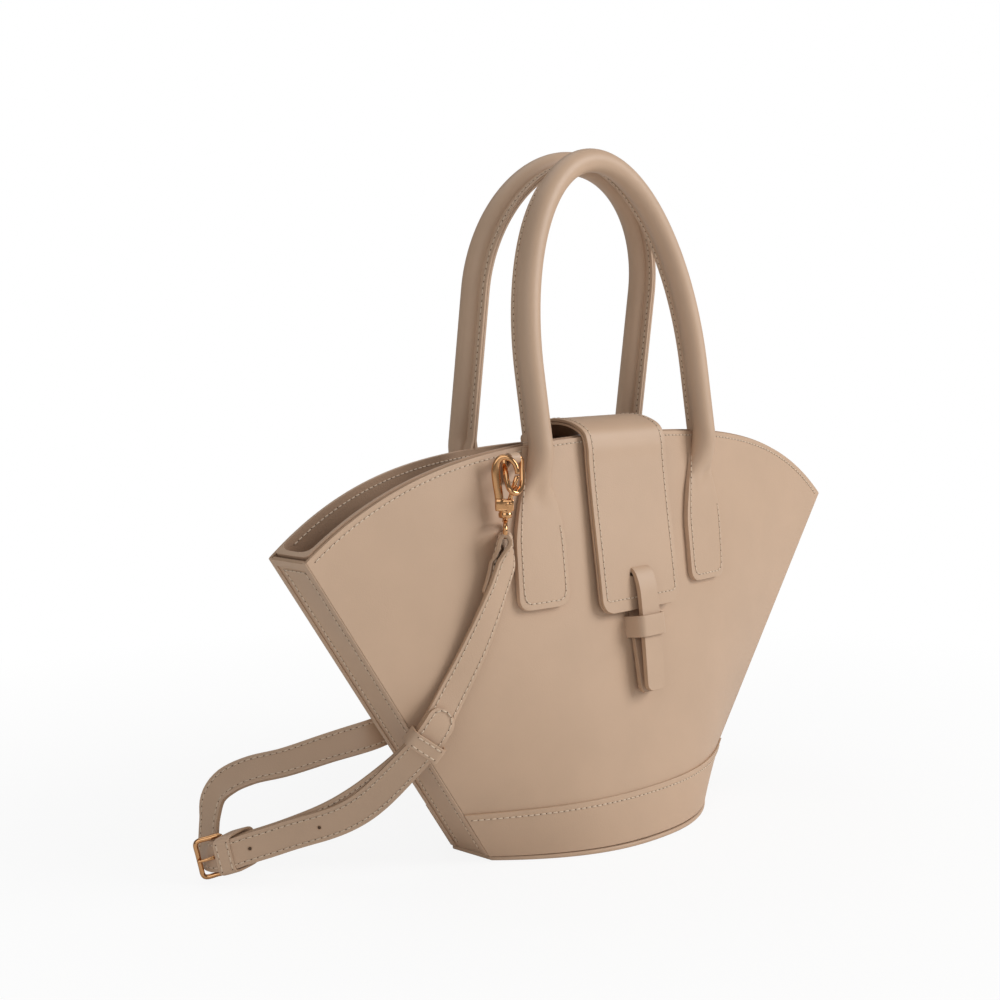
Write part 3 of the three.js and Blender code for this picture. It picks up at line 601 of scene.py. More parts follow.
def fibre_and_hole_shade_finish(name, base, size):
    """Matt fibre: mottled colour and a coarse bump; the needle holes' dark dots of painted shade use it as
    well.
    """
    material, tree, shader, at = clouded(name, base, 0.1, 4 * size)
    fibres = node(tree, "ShaderNodeTexNoise", {"Vector": at, "Scale": per_metre(size), "Detail": 5.0})
    bump = node(tree, "ShaderNodeBump", {"Height": (fibres, "Fac"), "Strength": 0.4, "Distance": 0.0005})
    fill(tree, shader, {"Normal": (bump, "Normal"), "Roughness": 0.9})
    return material


FINISHES = {}


def finish(name):
    """One of the bag's finishes, made when it is first asked for."""
    base = tint(name)
    makers = {
        "leather": lambda: leather_finish("smooth_calf_leather", base, 0.46, 0.035, 2 / 3, 0.1),
        "edge": lambda: leather_finish("painted_leather_edge", base, 0.5, 0.06, 1.1, 0.12),
        # The lining finish's darker colour is painted shade for the inside of the bag
        "lining": lambda: leather_finish("lining_leather", base, 0.72, 0.06, 0.9, 0.3),
        "thread": lambda: thread_finish("waxed_thread", base),
        # The needle hole finish is painted shade: a dark colour for the shadow in needle holes and punched
        # holes
        "hole": lambda: fibre_and_hole_shade_finish("needle_hole_painted_shade", base, 0.5),
        "gilt": lambda: gilt_finish("gilt_zinc_alloy", base),
        "board": lambda: fibre_and_hole_shade_finish("pressed_fibre_board", base, 2),
        "cord": lambda: fibre_and_hole_shade_finish("cotton_cord", base, 1.25),
    }
    if name not in FINISHES:
        FINISHES[name] = makers[name]()
    return FINISHES[name]


# Strap lines, shared by the strap, its stitches and its fittings

STRAP_EYE = np.array([-94.6, -30.6, 164.5])
EYE_ACROSS = np.array([0.687, -0.727, 0.0])
BUCKLE_CENTRE = np.array([-196.0, 57.5, 14.2])
BUCKLE_ALONG = unit(np.array([0.796, -0.564, 0.219]))
BUCKLE_UP = unit(np.array([0, 0, 1.0]) - BUCKLE_ALONG * BUCKLE_ALONG[2])
BUCKLE_OUT = np.cross(BUCKLE_ALONG, BUCKLE_UP)
# From the strap's centre line to the layer over it, from one station of the tail to the next, and how far the
# tail hangs below the layer under it between the keepers
LAYER = 2.6
STATION = 9.4
TAIL_DROP = 3.2
# The stations of the tail's tip and of the sliding keeper
TIP_STATION, SLIDER_STATION = 9, 11
# Each row is a point on the centre line and the way that the strap's outer face looks there
BUCKLE_ROUTE = [
    ((-94.1, -31.1, 161.5), (0.6, -0.8, 0.05)),
    ((-95.3, -31.8, 152), (0.2, -0.97, 0.08)),
    ((-100, -30.8, 140), (0.2, -0.97, 0.1)),
    ((-110.5, -28, 117), (-0.1, -1, 0.1)),
    ((-123, -24, 94), (-0.3, -1, 0.05)),
    ((-138.8, -20.2, 71), (-0.5, -1, 0)),
    ((-148, 3, 47), (-0.7, -0.8, 0)),
    ((-158.5, 21, 32.5), (-0.6, -0.8, 0)),
    ((-171, 37.5, 23), (-0.6, -0.8, 0)),
    ((-184, 49, 17.5), (-0.578, -0.816, 0)),
]
THROUGH = [
    ((8.5, 0, 3.1), (-0.578, -0.816, 0)),
    ((4, 0, 4), (-0.578, -0.816, 0)),
    ((0, 0, 4.1), (-0.7, -0.7, 0)),
    ((-4, 0, 2), (-0.93, -0.35, 0)),
    ((-7.6, 0, -1.6), (-1, -0.08, 0.05)),
    ((-9, 1.2, -6), (-1, 0.12, 0.1)),
    ((-7, 5, -11), (-1, 0.1, 0.25)),
]
LONG_ROUTE = [
    ((-193.6, 73, 27), (-0.98, 0.08, 0.15)),
    ((-190.3, 74.2, 37), (-0.8, -0.1, 0.55)),
    ((-183, 73, 43.5), (-0.6, -0.45, 0.7)),
    ((-173, 67.5, 48), (-0.45, -0.55, 0.7)),
    ((-160, 57, 51.5), (-0.42, -0.6, 0.68)),
    ((-143, 42, 58.5), (-0.45, -0.65, 0.6)),
    ((-127, 28.5, 64.5), (-0.45, -0.8, 0.35)),
    ((-108, 33.5, 65), (-0.1, -0.95, 0.2)),
    ((-80, 47, 59), (0.4, -0.9, 0.1)),
    ((-45, 68, 47), (0.5, -0.85, 0)),
    ((-10, 96, 33), (0.6, -0.8, 0)),
    ((25, 127, 21), (0.55, -0.8, 0)),
    ((65, 147, 14), (0.2, -1, 0)),
    ((108, 141, 14), (-0.4, -0.9, 0)),
    ((133, 112, 23), (-0.9, -0.4, 0)),
    ((136, 80, 48), (-0.95, 0, 0.2)),
    ((126, 57, 84), (-0.8, 0.6, 0)),
    ((112, 42, 122), (-0.3, 0.95, 0)),
    ((98, 33.5, 152), (-0.5, 0.85, 0.1)),
    ((94.1, 31.1, 161.5), (-0.6, 0.8, 0.05)),
]


def at_buckle(places):
    """Points given along, up and out of the buckle's frame."""
    return BUCKLE_CENTRE + np.asarray(places, float) @ np.stack([BUCKLE_ALONG, BUCKLE_UP, BUCKLE_OUT])


def strap_line(route, spacing):
    """A strap's centre line, the way its face looks and its width's direction, squared to the line."""
    line, places = smooth_line([p for p, _ in route], spacing)
    looks = along(unit(np.array([v for _, v in route], float)), places)
    heading = tangents(line)
    looks = unit(looks - heading * np.sum(looks * heading, axis=1, keepdims=True))
    return line, looks, np.cross(heading, looks)


def fold_over_eye(route, eye, across):
    """A route with its sewn end before it, up the far side of the eye's wire and over it."""
    line, looks, _ = strap_line(route, 4)
    gaps = {7: 2.1, 5: 2.8, 3: 4.0, 2: 4.4}
    back = [(line[i] - looks[i] * gap, -looks[i]) for i, gap in gaps.items()]
    turn = [(eye - across * 3.0 - [0, 0, 3.4], -across), (eye - across * 2.4, -across),
            (eye + [0, 0, 2.15], np.array([0, 0, 1.0])), (eye + across * 2.4, across),
            (eye + across * 2.2 - [0, 0, 3.4], across)]
    return back + turn + route[1:]


def buckle_route():
    """The buckle piece's route from under the front eye to the buckle's bar."""
    return BUCKLE_ROUTE + [(at_buckle([3.3, 0, 0]), BUCKLE_OUT)]


def buckle_piece_route():
    """The buckle piece's route with its sewn fold over the front eye."""
    return fold_over_eye(buckle_route(), STRAP_EYE, EYE_ACROSS)


def long_piece_route():
    """The long piece from its sewn fold at the back eye, behind the bag, through the buckle to its tail.

    Between the keepers the tail hangs a little lower than the layer under it."""
    line, looks, sides = strap_line(buckle_route(), STATION)
    stations = np.arange(TIP_STATION, len(line) - 2)
    share = np.clip((stations - SLIDER_STATION - 0.5) / (len(line) - 15), 0, 1)
    drop = TAIL_DROP * np.sin(share * np.pi) ** 2
    tail = [(line[i] + looks[i] * LAYER - sides[i] * d, looks[i]) for i, d in zip(stations, drop)]
    through = [(at_buckle(place), look) for place, look in THROUGH]
    route = tail + through + LONG_ROUTE
    return fold_over_eye(route[::-1], turned(STRAP_EYE), turned(EYE_ACROSS))


# Operators


class Made(bpy.types.Operator):
    """Base of the piece makers."""
    bl_options = {"REGISTER", "UNDO"}

    def execute(self, context):
        self.make()
        return {"FINISHED"}


def aim(name, data, place, target):
    """An object at a place that looks at a target with its top up."""
    holder = bpy.data.objects.new(name, data)
    bpy.context.collection.objects.link(holder)
    ahead = unit(np.subtract(target, place))
    right = unit(np.cross(ahead, [0, 0, 1.0]))
    turn = np.eye(4)
    turn[:3] = np.stack([right, np.cross(right, ahead), -ahead, place], axis=1)
    holder.matrix_world = Matrix(turn.tolist())
    return holder


class HANDBAG_OT_camera(Made):
    """Sets the camera at the photograph's viewing angle"""
    bl_idname = "handbag.camera"
    bl_label = "Camera"

    def make(self):
        lens = bpy.data.cameras.new("camera")
        lens.sensor_width = 36
        lens.lens = 61.74
        lens.clip_start = 0.01
        place, target = (-0.6852, -0.5856, 0.2720), (-0.0659, 0.0, 0.1779)
        bpy.context.scene.camera = aim("camera", lens, place, target)


class HANDBAG_OT_strap(Made):
    """Makes the two strap pieces with their folds, stitch rows and punched holes"""
    bl_idname = "handbag.strap"
    bl_label = "Strap"

    # From one row of the mesh to the next, and the punched holes' distances from the tail's tip
    spacing, hole_places = 2.2, (91, 124.3)

    def ends(self, run, start_round, end_round):
        """Half widths along the strap: full, with a rounded tip of the given radius at each end."""
        full = mm("strap_width") / 2
        half = np.full(len(run), full)
        for far, radius in ((run, start_round), (run[-1] - run, end_round)):
            if radius:
                rest = np.clip(radius - far, 0, radius)
                half = np.minimum(half, full - radius + np.sqrt(radius**2 - rest**2) + 0.05)
        return half

    def rows(self, line, looks, sides, run, tip):
        """Two stitch rows on each face, set in from the edges and joined by an arc round a rounded tip."""
        inset = mm("strap_width") / 2 - 2.1
        lift = mm("strap_thickness") / 2 + 0.12
        last = np.argmin(np.abs(run[-1] - run - max(tip, 6.0)))
        part = slice(3, last)
        turn = np.linspace(-np.pi / 2, np.pi / 2, 14)[1:-1, None]
        ahead = unit(line[last] - line[last - 1])
        arc = line[last] + inset * (np.sin(turn) * sides[last] + np.cos(turn) * ahead)
        rows = []
        for b in (-1, 1):
            edges = [line[part] + sides[part] * (a * inset) + looks[part] * (b * lift) for a in (-1, 1)]
            normals = looks[part] * b
            if tip:
                points = np.concatenate([edges[0], arc + looks[last] * (b * lift), edges[1][::-1]])
                rows.append((points, np.concatenate([normals, spread(looks[last] * b, arc), normals[::-1]])))
            else:
                rows += [(edge, normals) for edge in edges]
        return rows

    def make(self):
        routes = (buckle_piece_route(), long_piece_route())
        front, back = (strap_line(route, self.spacing) for route in routes)
        plans = (("strap_buckle_piece", front, 3.0, 0.0, "fitting", BUCKLE_ROUTE[0][0]),
                 ("strap_long_piece", back, 3.0, 7.3, "bare", LONG_ROUTE[-1][0]))
        for name, (line, looks, sides), start, end, far_end, leaves in plans:
            run = run_of(line)
            body = strip(line, sides, looks, self.ends(run, start, end), mm("strap_thickness"), 9, 0.12)
            piece = put_leather(name, [body], bevel=0.55, segments=3)
            seams = sew(name + "_stitches", self.rows(line, looks, sides, run, end), "bag")
            mm("strap_width") / 1000
        self.holes(*back)

    def holes(self, line, looks, sides):
        """Punched holes along the tail: a dark disc of painted shade for the hole's depth, in a pressed ring
        of leather.
        """
        run = run_of(line)
        turn = turns(12)[:, None]
        parts = []
        for back in self.hole_places:
            i = np.argmin(np.abs(run - (run[-1] - back)))
            top = line[i] + looks[i] * (mm("strap_thickness") / 2 + 0.1)
            heading = np.cross(looks[i], sides[i])
            ring = top + 1.05 * (np.cos(turn) * heading + np.sin(turn) * sides[i])
            parts.append(wire(ring, looks[i], 0.24, 0.6, 6))
            # The dark disc is painted shade for the inside of the punched hole
            shade_disc = turning(top - looks[i] * 0.4, top + looks[i] * 0.06, [(0, 0.9), (1, 0.9)], 12)
            parts.append((*shade_disc[:2], np.ones_like(shade_disc[2])))
        put("strap_holes", parts, [finish("edge"), finish("hole")], "bag")


class HANDBAG_OT_shell(Made):
    """Makes the panels, gussets, welts, bands and base"""
    bl_idname = "handbag.shell"
    bl_label = "Shell"

    # Height of the sheets' lower edges over the floor
    foot = 2.3

    def panel(self, low, high, near, far, columns, rows, drop=0.0):
        """A sheet on the front panel between two heights and two offsets, closer columns at the sides.

        Without a height it ends at the rim, lowered in the middle by the drop."""
        u = np.sin(np.linspace(-0.5, 0.5, columns) * np.pi)[:, None]
        top = 1 - drop * (1 - u**2) / rim_height(u) if high is None else high / rim_height(u)
        t = low / rim_height(u) + (top - low / rim_height(u)) * np.linspace(0, 1, rows)[None, :]
        u = u + 0 * t
        return face(u, t, near), face(u, t, far)

    def make(self):
        for side, move, drop in both_sides():
            panel = self.panel(self.foot, None, 0.0, -mm("leather"), 97, 41, drop)
            put_leather(side + "_panel", [plate(*map(move, panel))], bevel=0.76, segments=3)
            band = self.panel(3.0, mm("band_height"), 1.0, 0.1, 97, 9)
            put_leather(side + "_base_band", [plate(*map(move, band))], bevel=0.45)
        self.lining()
        self.gusset(np.asarray, "left_gusset", ("front_left_welt", "back_left_welt"))
        self.gusset(turned, "right_gusset", ("back_right_welt", "front_right_welt"))
        self.base()

    def inner_ring(self, depth, corner, reach, power):
        """A loop inside the shell: along the front, round each gusset as a superellipse, and along the back.

        Rows go round and columns go up, to a lip a little over the rim."""
        lip = 0.9
        t = np.linspace(0.03, 1 + lip / mm("middle_height"), 40)[None, :]
        limit = (side_x(t) - corner) / side_x(t)
        share = np.sin(np.linspace(-0.5, 0.5, 81) * np.pi)[:, None]
        across = share * limit
        front = face(across, t + 0 * across, -depth)
        back = face(across, t * (1 - mm("back_drop") * (1 - share**2) / rim_height(across)), -depth)
        end = front[-1]
        turn = np.linspace(-0.5, 0.5, 25)[1:-1, None] * np.pi
        x = end[None, :, 0] + (corner - reach) * np.cos(turn) ** (2 / power)
        y = -end[None, :, 1] * np.sign(np.sin(turn)) * np.abs(np.sin(turn)) ** (2 / power)
        right = np.stack(np.broadcast_arrays(x, y, t * rim_height(x / side_x(t))), axis=-1)
        return np.concatenate([front, right, turned(back), turned(right)])

    def lining(self):
        """The inner leather bag: its outer face lies in the shell's corners, its inner face rounds them."""
        depth = mm("leather") + 0.4
        outer = self.inner_ring(depth, corner=5.0, reach=1.65, power=6.0)
        inner = self.inner_ring(depth + 1.8, corner=9.5, reach=3.7, power=3.2)
        nodes = ["front_lining", "back_lining", "left_gusset_lining", "right_gusset_lining"]
        # The lining finish on the faces is darker as painted shade for the inside; the cut edges and the
        # rounded lip take the leather's own colour
        finishes = [finish("lining"), finish("leather")]
        put("inner_lining", [plate(outer, inner, wrap=True)], finishes, "bag", nodes, "lining_leather",
            bevel=0.8, segments=3, bevel_finish=1)

    def gusset(self, move, name, welts):
        """A sheet sloping up and out, hollowed in the middle, with its top folded as a hem, and its welts."""
        top, half = mm("corner_height"), mm("gusset_half") - mm("seam") + 1.0
        slope = gusset_slope()
        y = np.linspace(-half, half, 15)[:, None]
        hem_rows = top - np.array([5, 4.2, 3.6, 3.2, 2.6, 1.6, 0.6, 0])
        z = np.concatenate([np.linspace(self.foot, top - 6, 40), hem_rows])[None, :]
        hem = smoothstep(z, top - 4.0, top - 3.2) * 0.9
        sag = gusset_sag(y / half, z)
        flat = np.stack(np.broadcast_arrays(-side_x(z / top), y, z), axis=-1)
        near = flat + slope * (hem + sag)[..., None]
        far = flat + slope * (sag - mm("leather") * 0.8)[..., None]
        put_leather(name, [plate(move(near), move(far))], bevel=0.4)
        height = np.linspace(3.2, top, 60)
        section = rounded(mm("seam") / 2 - 0.05, 0.5, 3.2, 16)
        for sign, welt in zip((-1, 1), welts):
            middle = sign * (mm("gusset_half") - mm("seam") / 2)
            line = np.stack([-side_x(height / top), np.full(60, middle), height], axis=1) + slope * 0.4
            parts = moved(move, [tube(line, [0, 1.0, 0], slope, section)])
            put(welt, parts, [finish("leather")], "bag", [welt], bevel=0.3)

    def base(self):
        """The flat base: a lens-shaped sheet, its inner lining and its piped edge."""
        u = np.linspace(-1, 1, 61)[:, None]
        v = np.linspace(-1, 1, 17)[None, :]

        def sheet(inset, z):
            x, y = u * (mm("base_half") - inset), v * (base_depth(u) - inset)
            return np.stack(np.broadcast_arrays(x, y, z), axis=-1)

        put_leather("base_panel", [plate(sheet(0.6, 2.0), sheet(0.6, 0.15))], bevel=0.5)
        # The base lining takes the lining finish, whose darker colour is painted shade inside the bag
        lining = plate(sheet(6.0, 5.6), sheet(6.0, 4.75))
        put("base_lining", [lining], [finish("lining")], "bag", ["base_lining"], "lining_leather", bevel=0.2)
        out, height = 0.5, 1.25
        turn = np.linspace(-1, 1, 121)
        rim = np.stack([turn * (mm("base_half") + out), -(base_depth(turn) + out), 0 * turn + height], axis=1)
        ends = np.linspace(-1, 1, 14)[1:-1] * (mm("gusset_half") + out)
        right = np.stack([0 * ends + mm("base_half") + out, ends, 0 * ends + height], axis=1)
        line = np.concatenate([rim, right, turned(rim), turned(right)])
        upright = np.array([0, 0, 1.0])
        pipe = tube(line, np.cross(tangents(line, True), upright), upright, rounded(1.0, 1.15, 2.6, 12), True)
        put("base_welt", [pipe], [finish("leather")], "bag", ["base_welt"])


class HANDBAG_OT_handles(Made):
    """Makes the two rolled handles with their sewn ends"""
    bl_idname = "handbag.handles"
    bl_label = "Handles"

    # The middle of the handle's plane at the feet, where it swings, and at the top of the arch
    foot, top = np.array([0, -28.2, 203.0]), np.array([0, -10.6, 348.0])
    # Heights of the points listed with each handle's bodies for a pass from the bag to the moving handle;
    # put() does not read them
    bends = (0.197, 0.212)
    # How far a sewn end's face stands off the panel, and the radius of its lower corners
    tab_offset, tab_corner = 3.3, 6.0
    # Heights between which the rows of the mesh are close
    close = (172, 222)
    # Heights between which a sewn end narrows to the roll, and between which it lifts off the panel
    narrows, lifts = (158, 208), (174, 206)
    # The crease under the roll: its depth, its height, and its reach up and across
    crease, crease_height, crease_up, crease_across = 1.9, 184, 6, 5
    # How far the fin bends sideways for each millimetre that the panel pushes it out, the height up to which
    # the panel's face is used, and how far and over what height it draws back above the fin's end
    fin_bend, wall_top, wall_back, wall_fade = 1.3, 206.5, 16, 8
    # Heights where the stitch rows on a sewn end's left and right sides stop
    row_tops = (196, 169)
    # Points round the front of a section, and on its back
    front_count, back_count = 49, 10
    # Each handle's straight leg, how far its top leans along X, and the height where its fin ends
    shapes = {"front": (40.0, -7.5, 205.0), "back": (80.0, 0.0, 199.0)}

    def axes(self):
        """The handle plane's upward and inward directions, and the handle's height in it."""
        up = unit(self.top - self.foot)
        return up, np.array([0, up[2], -up[1]]), np.linalg.norm(self.top - self.foot)

    def leaned(self, points, lean):
        """Points moved along X: by a share of the lean that grows upwards, and by the tab's shift below."""
        up, _, height = self.axes()
        share = np.clip((points - self.foot) @ up / height, 0, None) * lean
        share = share - mm("tab_shift") * (1 - smoothstep(points[..., 2], *self.lifts))
        return points + share[..., None] * X_AXIS

    def narrowing(self, z):
        """The share of the way from the tab's width to the roll's, growing with height."""
        low, high = self.narrows
        return np.clip((z - low) / (high - low), 0, 1) ** 1.4

    def roll(self):
        """The roll's section, sideways and inward: round the front, then along the two lips of the fin."""
        radius, half, reach = mm("roll_radius"), mm("fin_half"), mm("fin_reach")
        limit = np.pi - np.arcsin(half / radius)
        turn = np.linspace(-limit, limit, self.front_count)
        front = np.stack([radius * np.sin(turn), -radius * np.cos(turn)], axis=1)
        lip = np.array([(half, 7.2), (half, reach), (0.9, reach + 0.1), (0.16, reach), (0.16, 7.6)])
        return np.vstack([front, lip, lip[::-1] * [-1, 1]])

    def tab(self, z):
        """The sewn end's section at each height, across and off the panel, with rounded lower corners."""
        corner, front, back = self.tab_corner, self.front_count, self.back_count
        rise = np.clip(z - mm("tab_low"), 0, corner)
        half = mm("tab_half") - corner + np.sqrt(np.maximum(corner**2 - (corner - rise) ** 2, 0.04))
        across = np.linspace(-1, 1, front)
        w = np.concatenate([across, np.linspace(1, -1, back)])
        puff = 0.35 * (1 - across**8) - 0.35
        off = np.concatenate([self.tab_offset + puff, np.full(back, 0.3)])
        return half[:, None] * w, np.broadcast_to(off, (len(z), front + back))

    def half_handle(self, leg, fin_end, way):
        """Rows of section points from the left end's bottom, up a leg and over half an elliptic arch.

        Where the panel is behind the leg, the fin is pushed out and bends sideways: left where way is 1."""
        up, inward, height = self.axes()
        section = self.roll()
        low, half = mm("tab_low"), mm("handle_half")
        z = np.concatenate([low + np.array([0, 0.1, 0.4, 1, 2, 3.4, 5, 6.5]),
                            np.arange(low + 9, self.close[0], 3), np.arange(*self.close, 1.2)])
        lift, narrow = smoothstep(z, *self.lifts), self.narrowing(z)
        share = np.stack([narrow, lift, lift], axis=1)[:, None, :]
        x, off = self.tab(z)
        flat = face_at(-half - x, z[:, None] + 0 * x, off)
        upward = np.exp(-((z - self.crease_height) / self.crease_up) ** 2)[:, None]
        flat[..., 1] += self.crease * upward * np.exp(-((x - 1.5) / self.crease_across) ** 2) * (off > 1)
        centre = self.foot + up * ((z - self.foot[2]) / up[2])[:, None] - half * X_AXIS
        solid = centre[:, None, :] - section[:, :1] * X_AXIS + inward * section[:, 1:]
        rows = flat * (1 - share) + solid * share
        wall = face_at(rows[..., 0], np.minimum(rows[..., 2], self.wall_top), 0.3)[..., 1]
        wall = wall + self.wall_back * smoothstep(rows[..., 2], fin_end, fin_end + self.wall_fade)
        rows[..., 0] -= self.fin_bend * way * np.clip(rows[..., 1] - wall, 0, None) * share[..., 1]
        rows[..., 1] = np.minimum(rows[..., 1], wall)
        legs = np.linspace((z[-1] - self.foot[2]) / up[2], leg, 14)[1:-1]
        rise = height - leg
        middles = [self.foot + up * s - half * X_AXIS for s in legs]
        sides = [-X_AXIS for _ in legs]
        for a in np.linspace(0, np.pi / 2, 40):
            middles.append(self.foot + up * (leg + rise * np.sin(a)) - half * np.cos(a) * X_AXIS)
            sides.append(unit(up * half * np.sin(a) - rise * np.cos(a) * X_AXIS))
        middles, sides = np.array(middles), np.array(sides)
        round_rows = middles[:, None, :] + sides[:, None, :] * section[:, :1] + inward * section[:, 1:]
        return np.concatenate([rows, round_rows])

    def make(self):
        mirror = np.array([-1.0, 1, 1])
        for side, move, _ in both_sides():
            leg, lean, fin_end = self.shapes[side]
            half, other = (self.half_handle(leg, fin_end, way) for way in (1, -1))
            points = move(self.leaned(np.concatenate([half, other[-2::-1] * mirror]), lean))
            turn = move(self.foot) / 1000
            bend = ("bag", side + "_handle", *((0, turn[1], height) for height in self.bends))
            nodes = [side + "_handle_cover", side + "_left_handle_tab", side + "_right_handle_tab"]
            put(side + "_handle", [skin(points)], [finish("leather")], bend, nodes, bevel=0.5)
            stitches = [(move(self.leaned(p, lean)), move(n)) for p, n in self.rows(leg, half)]
            sew(side + "_handle_stitches", stitches, bend)

    def tab_side(self, grid, column, high):
        """Points and normals up one side of a sewn end, on a column of its section points."""
        level = grid[:, self.front_count // 2, 2]
        rows = np.flatnonzero((level > mm("tab_low") + 7) & (level < high))
        upward = grid[rows + 1, column] - grid[rows - 1, column]
        normal = np.cross(upward, grid[rows, column + 1] - grid[rows, column - 1])
        normal = unit(normal * np.sign(-normal[:, 1:2]))
        return grid[rows, column] + normal * 0.1, normal

    def rows(self, leg, grid):
        """Stitch rows round each sewn end and on both faces of the fin."""
        up, inward, height = self.axes()
        inset, corner, half = 3.0, 4.0, mm("handle_half")
        flat = mm("tab_half") - inset - corner
        turn = np.linspace(0, np.pi / 2, 8)
        x = np.concatenate([-flat - corner * np.cos(turn), flat + corner * np.sin(turn)])
        z = mm("tab_low") + inset + corner - corner * np.concatenate([np.sin(turn), np.cos(turn)])
        middle = self.front_count // 2
        rows = []
        for sign in (1, -1):
            place = face_place(x - sign * half, z)
            foot = (face(*place, self.tab_offset + 0.1), face_normal(*place))
            own = grid * np.array([sign, 1.0, 1.0])
            left, right = (self.tab_side(own, middle + way * sign * 20, high)
                           for way, high in zip((1, -1), self.row_tops))
            rows.append(tuple(np.concatenate([left[i][::-1], foot[i], right[i]]) for i in range(2)))
        arch = np.linspace(0, np.pi, 90)[1:-1]
        legs, ones = np.linspace(11, leg, 20), np.ones(20)
        s = np.concatenate([legs, leg + (height - leg) * np.sin(arch), legs[::-1]])
        x = half * np.concatenate([-ones, -np.cos(arch), ones])
        line = self.foot + up * s[:, None] + x[:, None] * X_AXIS
        side = unit(np.cross(tangents(line), inward))
        row = line + inward * (mm("fin_reach") - 1.9)
        off = mm("fin_half") + 0.08
        rows += [(row + side * (sign * off), side * sign) for sign in (-1, 1)]
        return rows


class HANDBAG_OT_closure(Made):
    """Makes the flap, the folded tongue and the keeper"""
    bl_idname = "handbag.closure"
    bl_label = "Closure"

    # Points of the flap's side view, back and up: where it is sewn down, and from there over the mouth
    root = [(29, 178), (27.2, 192), (26.2, 204)]
    side = [(26.6, 205.5), (25.5, 207), (23, 208.2), (16, 211.4), (6, 215.3), (-5, 217.3), (-16.5, 216),
            (-25.3, 211.4), (-28, 204.3), (-28.8, 196), (-31.5, 175), (-35.2, 150), (-39.6, 119.5)]
    # Radii of the flap's lower corners and the tongue's ends, and the length over which the root widens
    corner, end_round, shoulder = 8, 4, 24
    slit_height, slit_half = 139.2, 7.5
    # Each row is a height, the distance off the panel and the strip's thickness there
    tongue_route = [(77, 7.6, 2.6), (90, 8, 2.6), (103, 8.4, 2.6), (113, 8.6, 2.6), (121, 8.6, 2.6),
                    (129, 8.4, 2.6), (134, 7.6, 2.4), (137.5, 6.4, 2.2), (139.6, 4.6, 1.8), (139.6, 2.4, 1.2),
                    (137, 0.75, 0.9), (130, 0.75, 0.9), (119, 0.85, 1), (113, 1.3, 1.7), (103, 2, 2.2),
                    (90, 2.8, 2.5), (76, 3.3, 2.6)]
    # Half the keeper's section, across and off the panel
    keeper_half = [(9.6, -0.2), (9.6, 3), (9.6, 6.5), (9.3, 9), (8, 10.6), (5.5, 11), (2.5, 11.05)]
    keeper_low, keeper_high = 105.0, 116.0
    # Bodies and points listed for the flap's pass from the bag to the moving body; put() does not read them
    bend = ("bag", "flap", (0, 0.0265, 0.2), (0, 0.018, 0.2))

    def flap_line(self, points):
        """The flap's side view as a line in space, with its outward directions and half widths."""
        line, _ = smooth_line([(0, y, z) for y, z in points], 1.6)
        run = run_of(line)
        half = round_end(run[-1] - run, mm("flap_half"), self.corner)
        start = run[np.argmin(np.where(line[:, 1] < 0, np.inf, np.abs(line[:, 2] - self.side[0][1])))]
        narrow = 1 - smoothstep(run - start, 0, self.shoulder)
        return line, side_outs(line), half - (mm("flap_half") - mm("flap_root")) * narrow

    def layer(self, points, near, far):
        """One layer of the flap between two depths, with the tongue's slit cut through it."""
        line, outs, half = self.flap_line(points)
        middle = line - outs * ((near + far) / 2)
        row = int(np.argmin(np.where(line[:, 1] > 0, np.inf, np.abs(line[:, 2] - self.slit_height))))
        side = 20
        gap = round(self.slit_half / mm("flap_half") * side)
        hole = (row, row + 1, side - gap, side + gap)
        return strip(middle, X_AXIS, outs, half, far - near, 2 * side + 1, hole=hole)

    def flap_rows(self):
        """The stitch row down one side of the flap, across its lower end and up the other side."""
        line, outs, half = self.flap_line(self.root + self.side)
        last = len(line) - 4
        part = slice(3, last)
        half = np.minimum(half, mm("flap_half")) - 3.4
        left = (line + outs * 0.1)[part] - half[part, None] * X_AXIS
        right = left * np.array([-1.0, 1, 1])
        share = np.linspace(-1, 1, 30)[1:-1, None]
        foot = (left[-1] + right[-1]) / 2 + share * (right[-1] - left[-1]) / 2
        points = np.vstack([left, foot, right[::-1]])
        return [(points, np.vstack([outs[part], spread(outs[last], foot), outs[part][::-1]]))]

    def make(self):
        outer = self.layer(self.root + self.side, 0.0, 1.6)
        put_leather("flap_outer", [outer], self.bend, ["flap_outer", "flap_root"], bevel=0.55, segments=3)
        inner = self.layer(self.side, 1.85, 3.15)
        put_leather("flap_lining", [inner], self.bend, slot="lining_leather", bevel=0.45)
        sew("flap_stitches", self.flap_rows(), self.bend)
        self.tongue()
        self.keeper()

    def tongue(self):
        """One strip folded through the slit, with a tail in front and a thinner one behind."""
        route = np.array(self.tongue_route, float)
        line, places = smooth_line(face_at(0.0, route[:, 0], route[:, 1]), 0.9)
        thickness = along(route[:, 2:], places)[:, 0]
        run = run_of(line)
        half = round_end(np.minimum(run, run[-1] - run), mm("tongue_half"), self.end_round)
        folded = strip(line, X_AXIS, side_outs(line), half, thickness, 11)
        put_leather("closure_tongue", [folded], "flap", bevel=0.4)

    def keeper(self):
        """A strip bridging the tongue: up from the panel, across in front and back down."""
        side = self.keeper_half + [(0, 11.05)] + [(-x, n) for x, n in self.keeper_half[::-1]]
        foot, head = face_at(0.0, self.keeper_low), face_at(0.0, self.keeper_high)
        up, middle = unit(head - foot), (foot + head) / 2
        out = np.array([0, -up[2], up[1]])
        line, _ = smooth_line([middle + x * X_AXIS + out * n for x, n in side], 0.7)
        outs = outwards(unit(np.cross(up, tangents(line))), line, middle)
        half = (self.keeper_high - self.keeper_low) / 2
        put_leather("closure_keeper", [strip(line, up, outs, half, 1.25, 9, 0.1)], bevel=0.4)


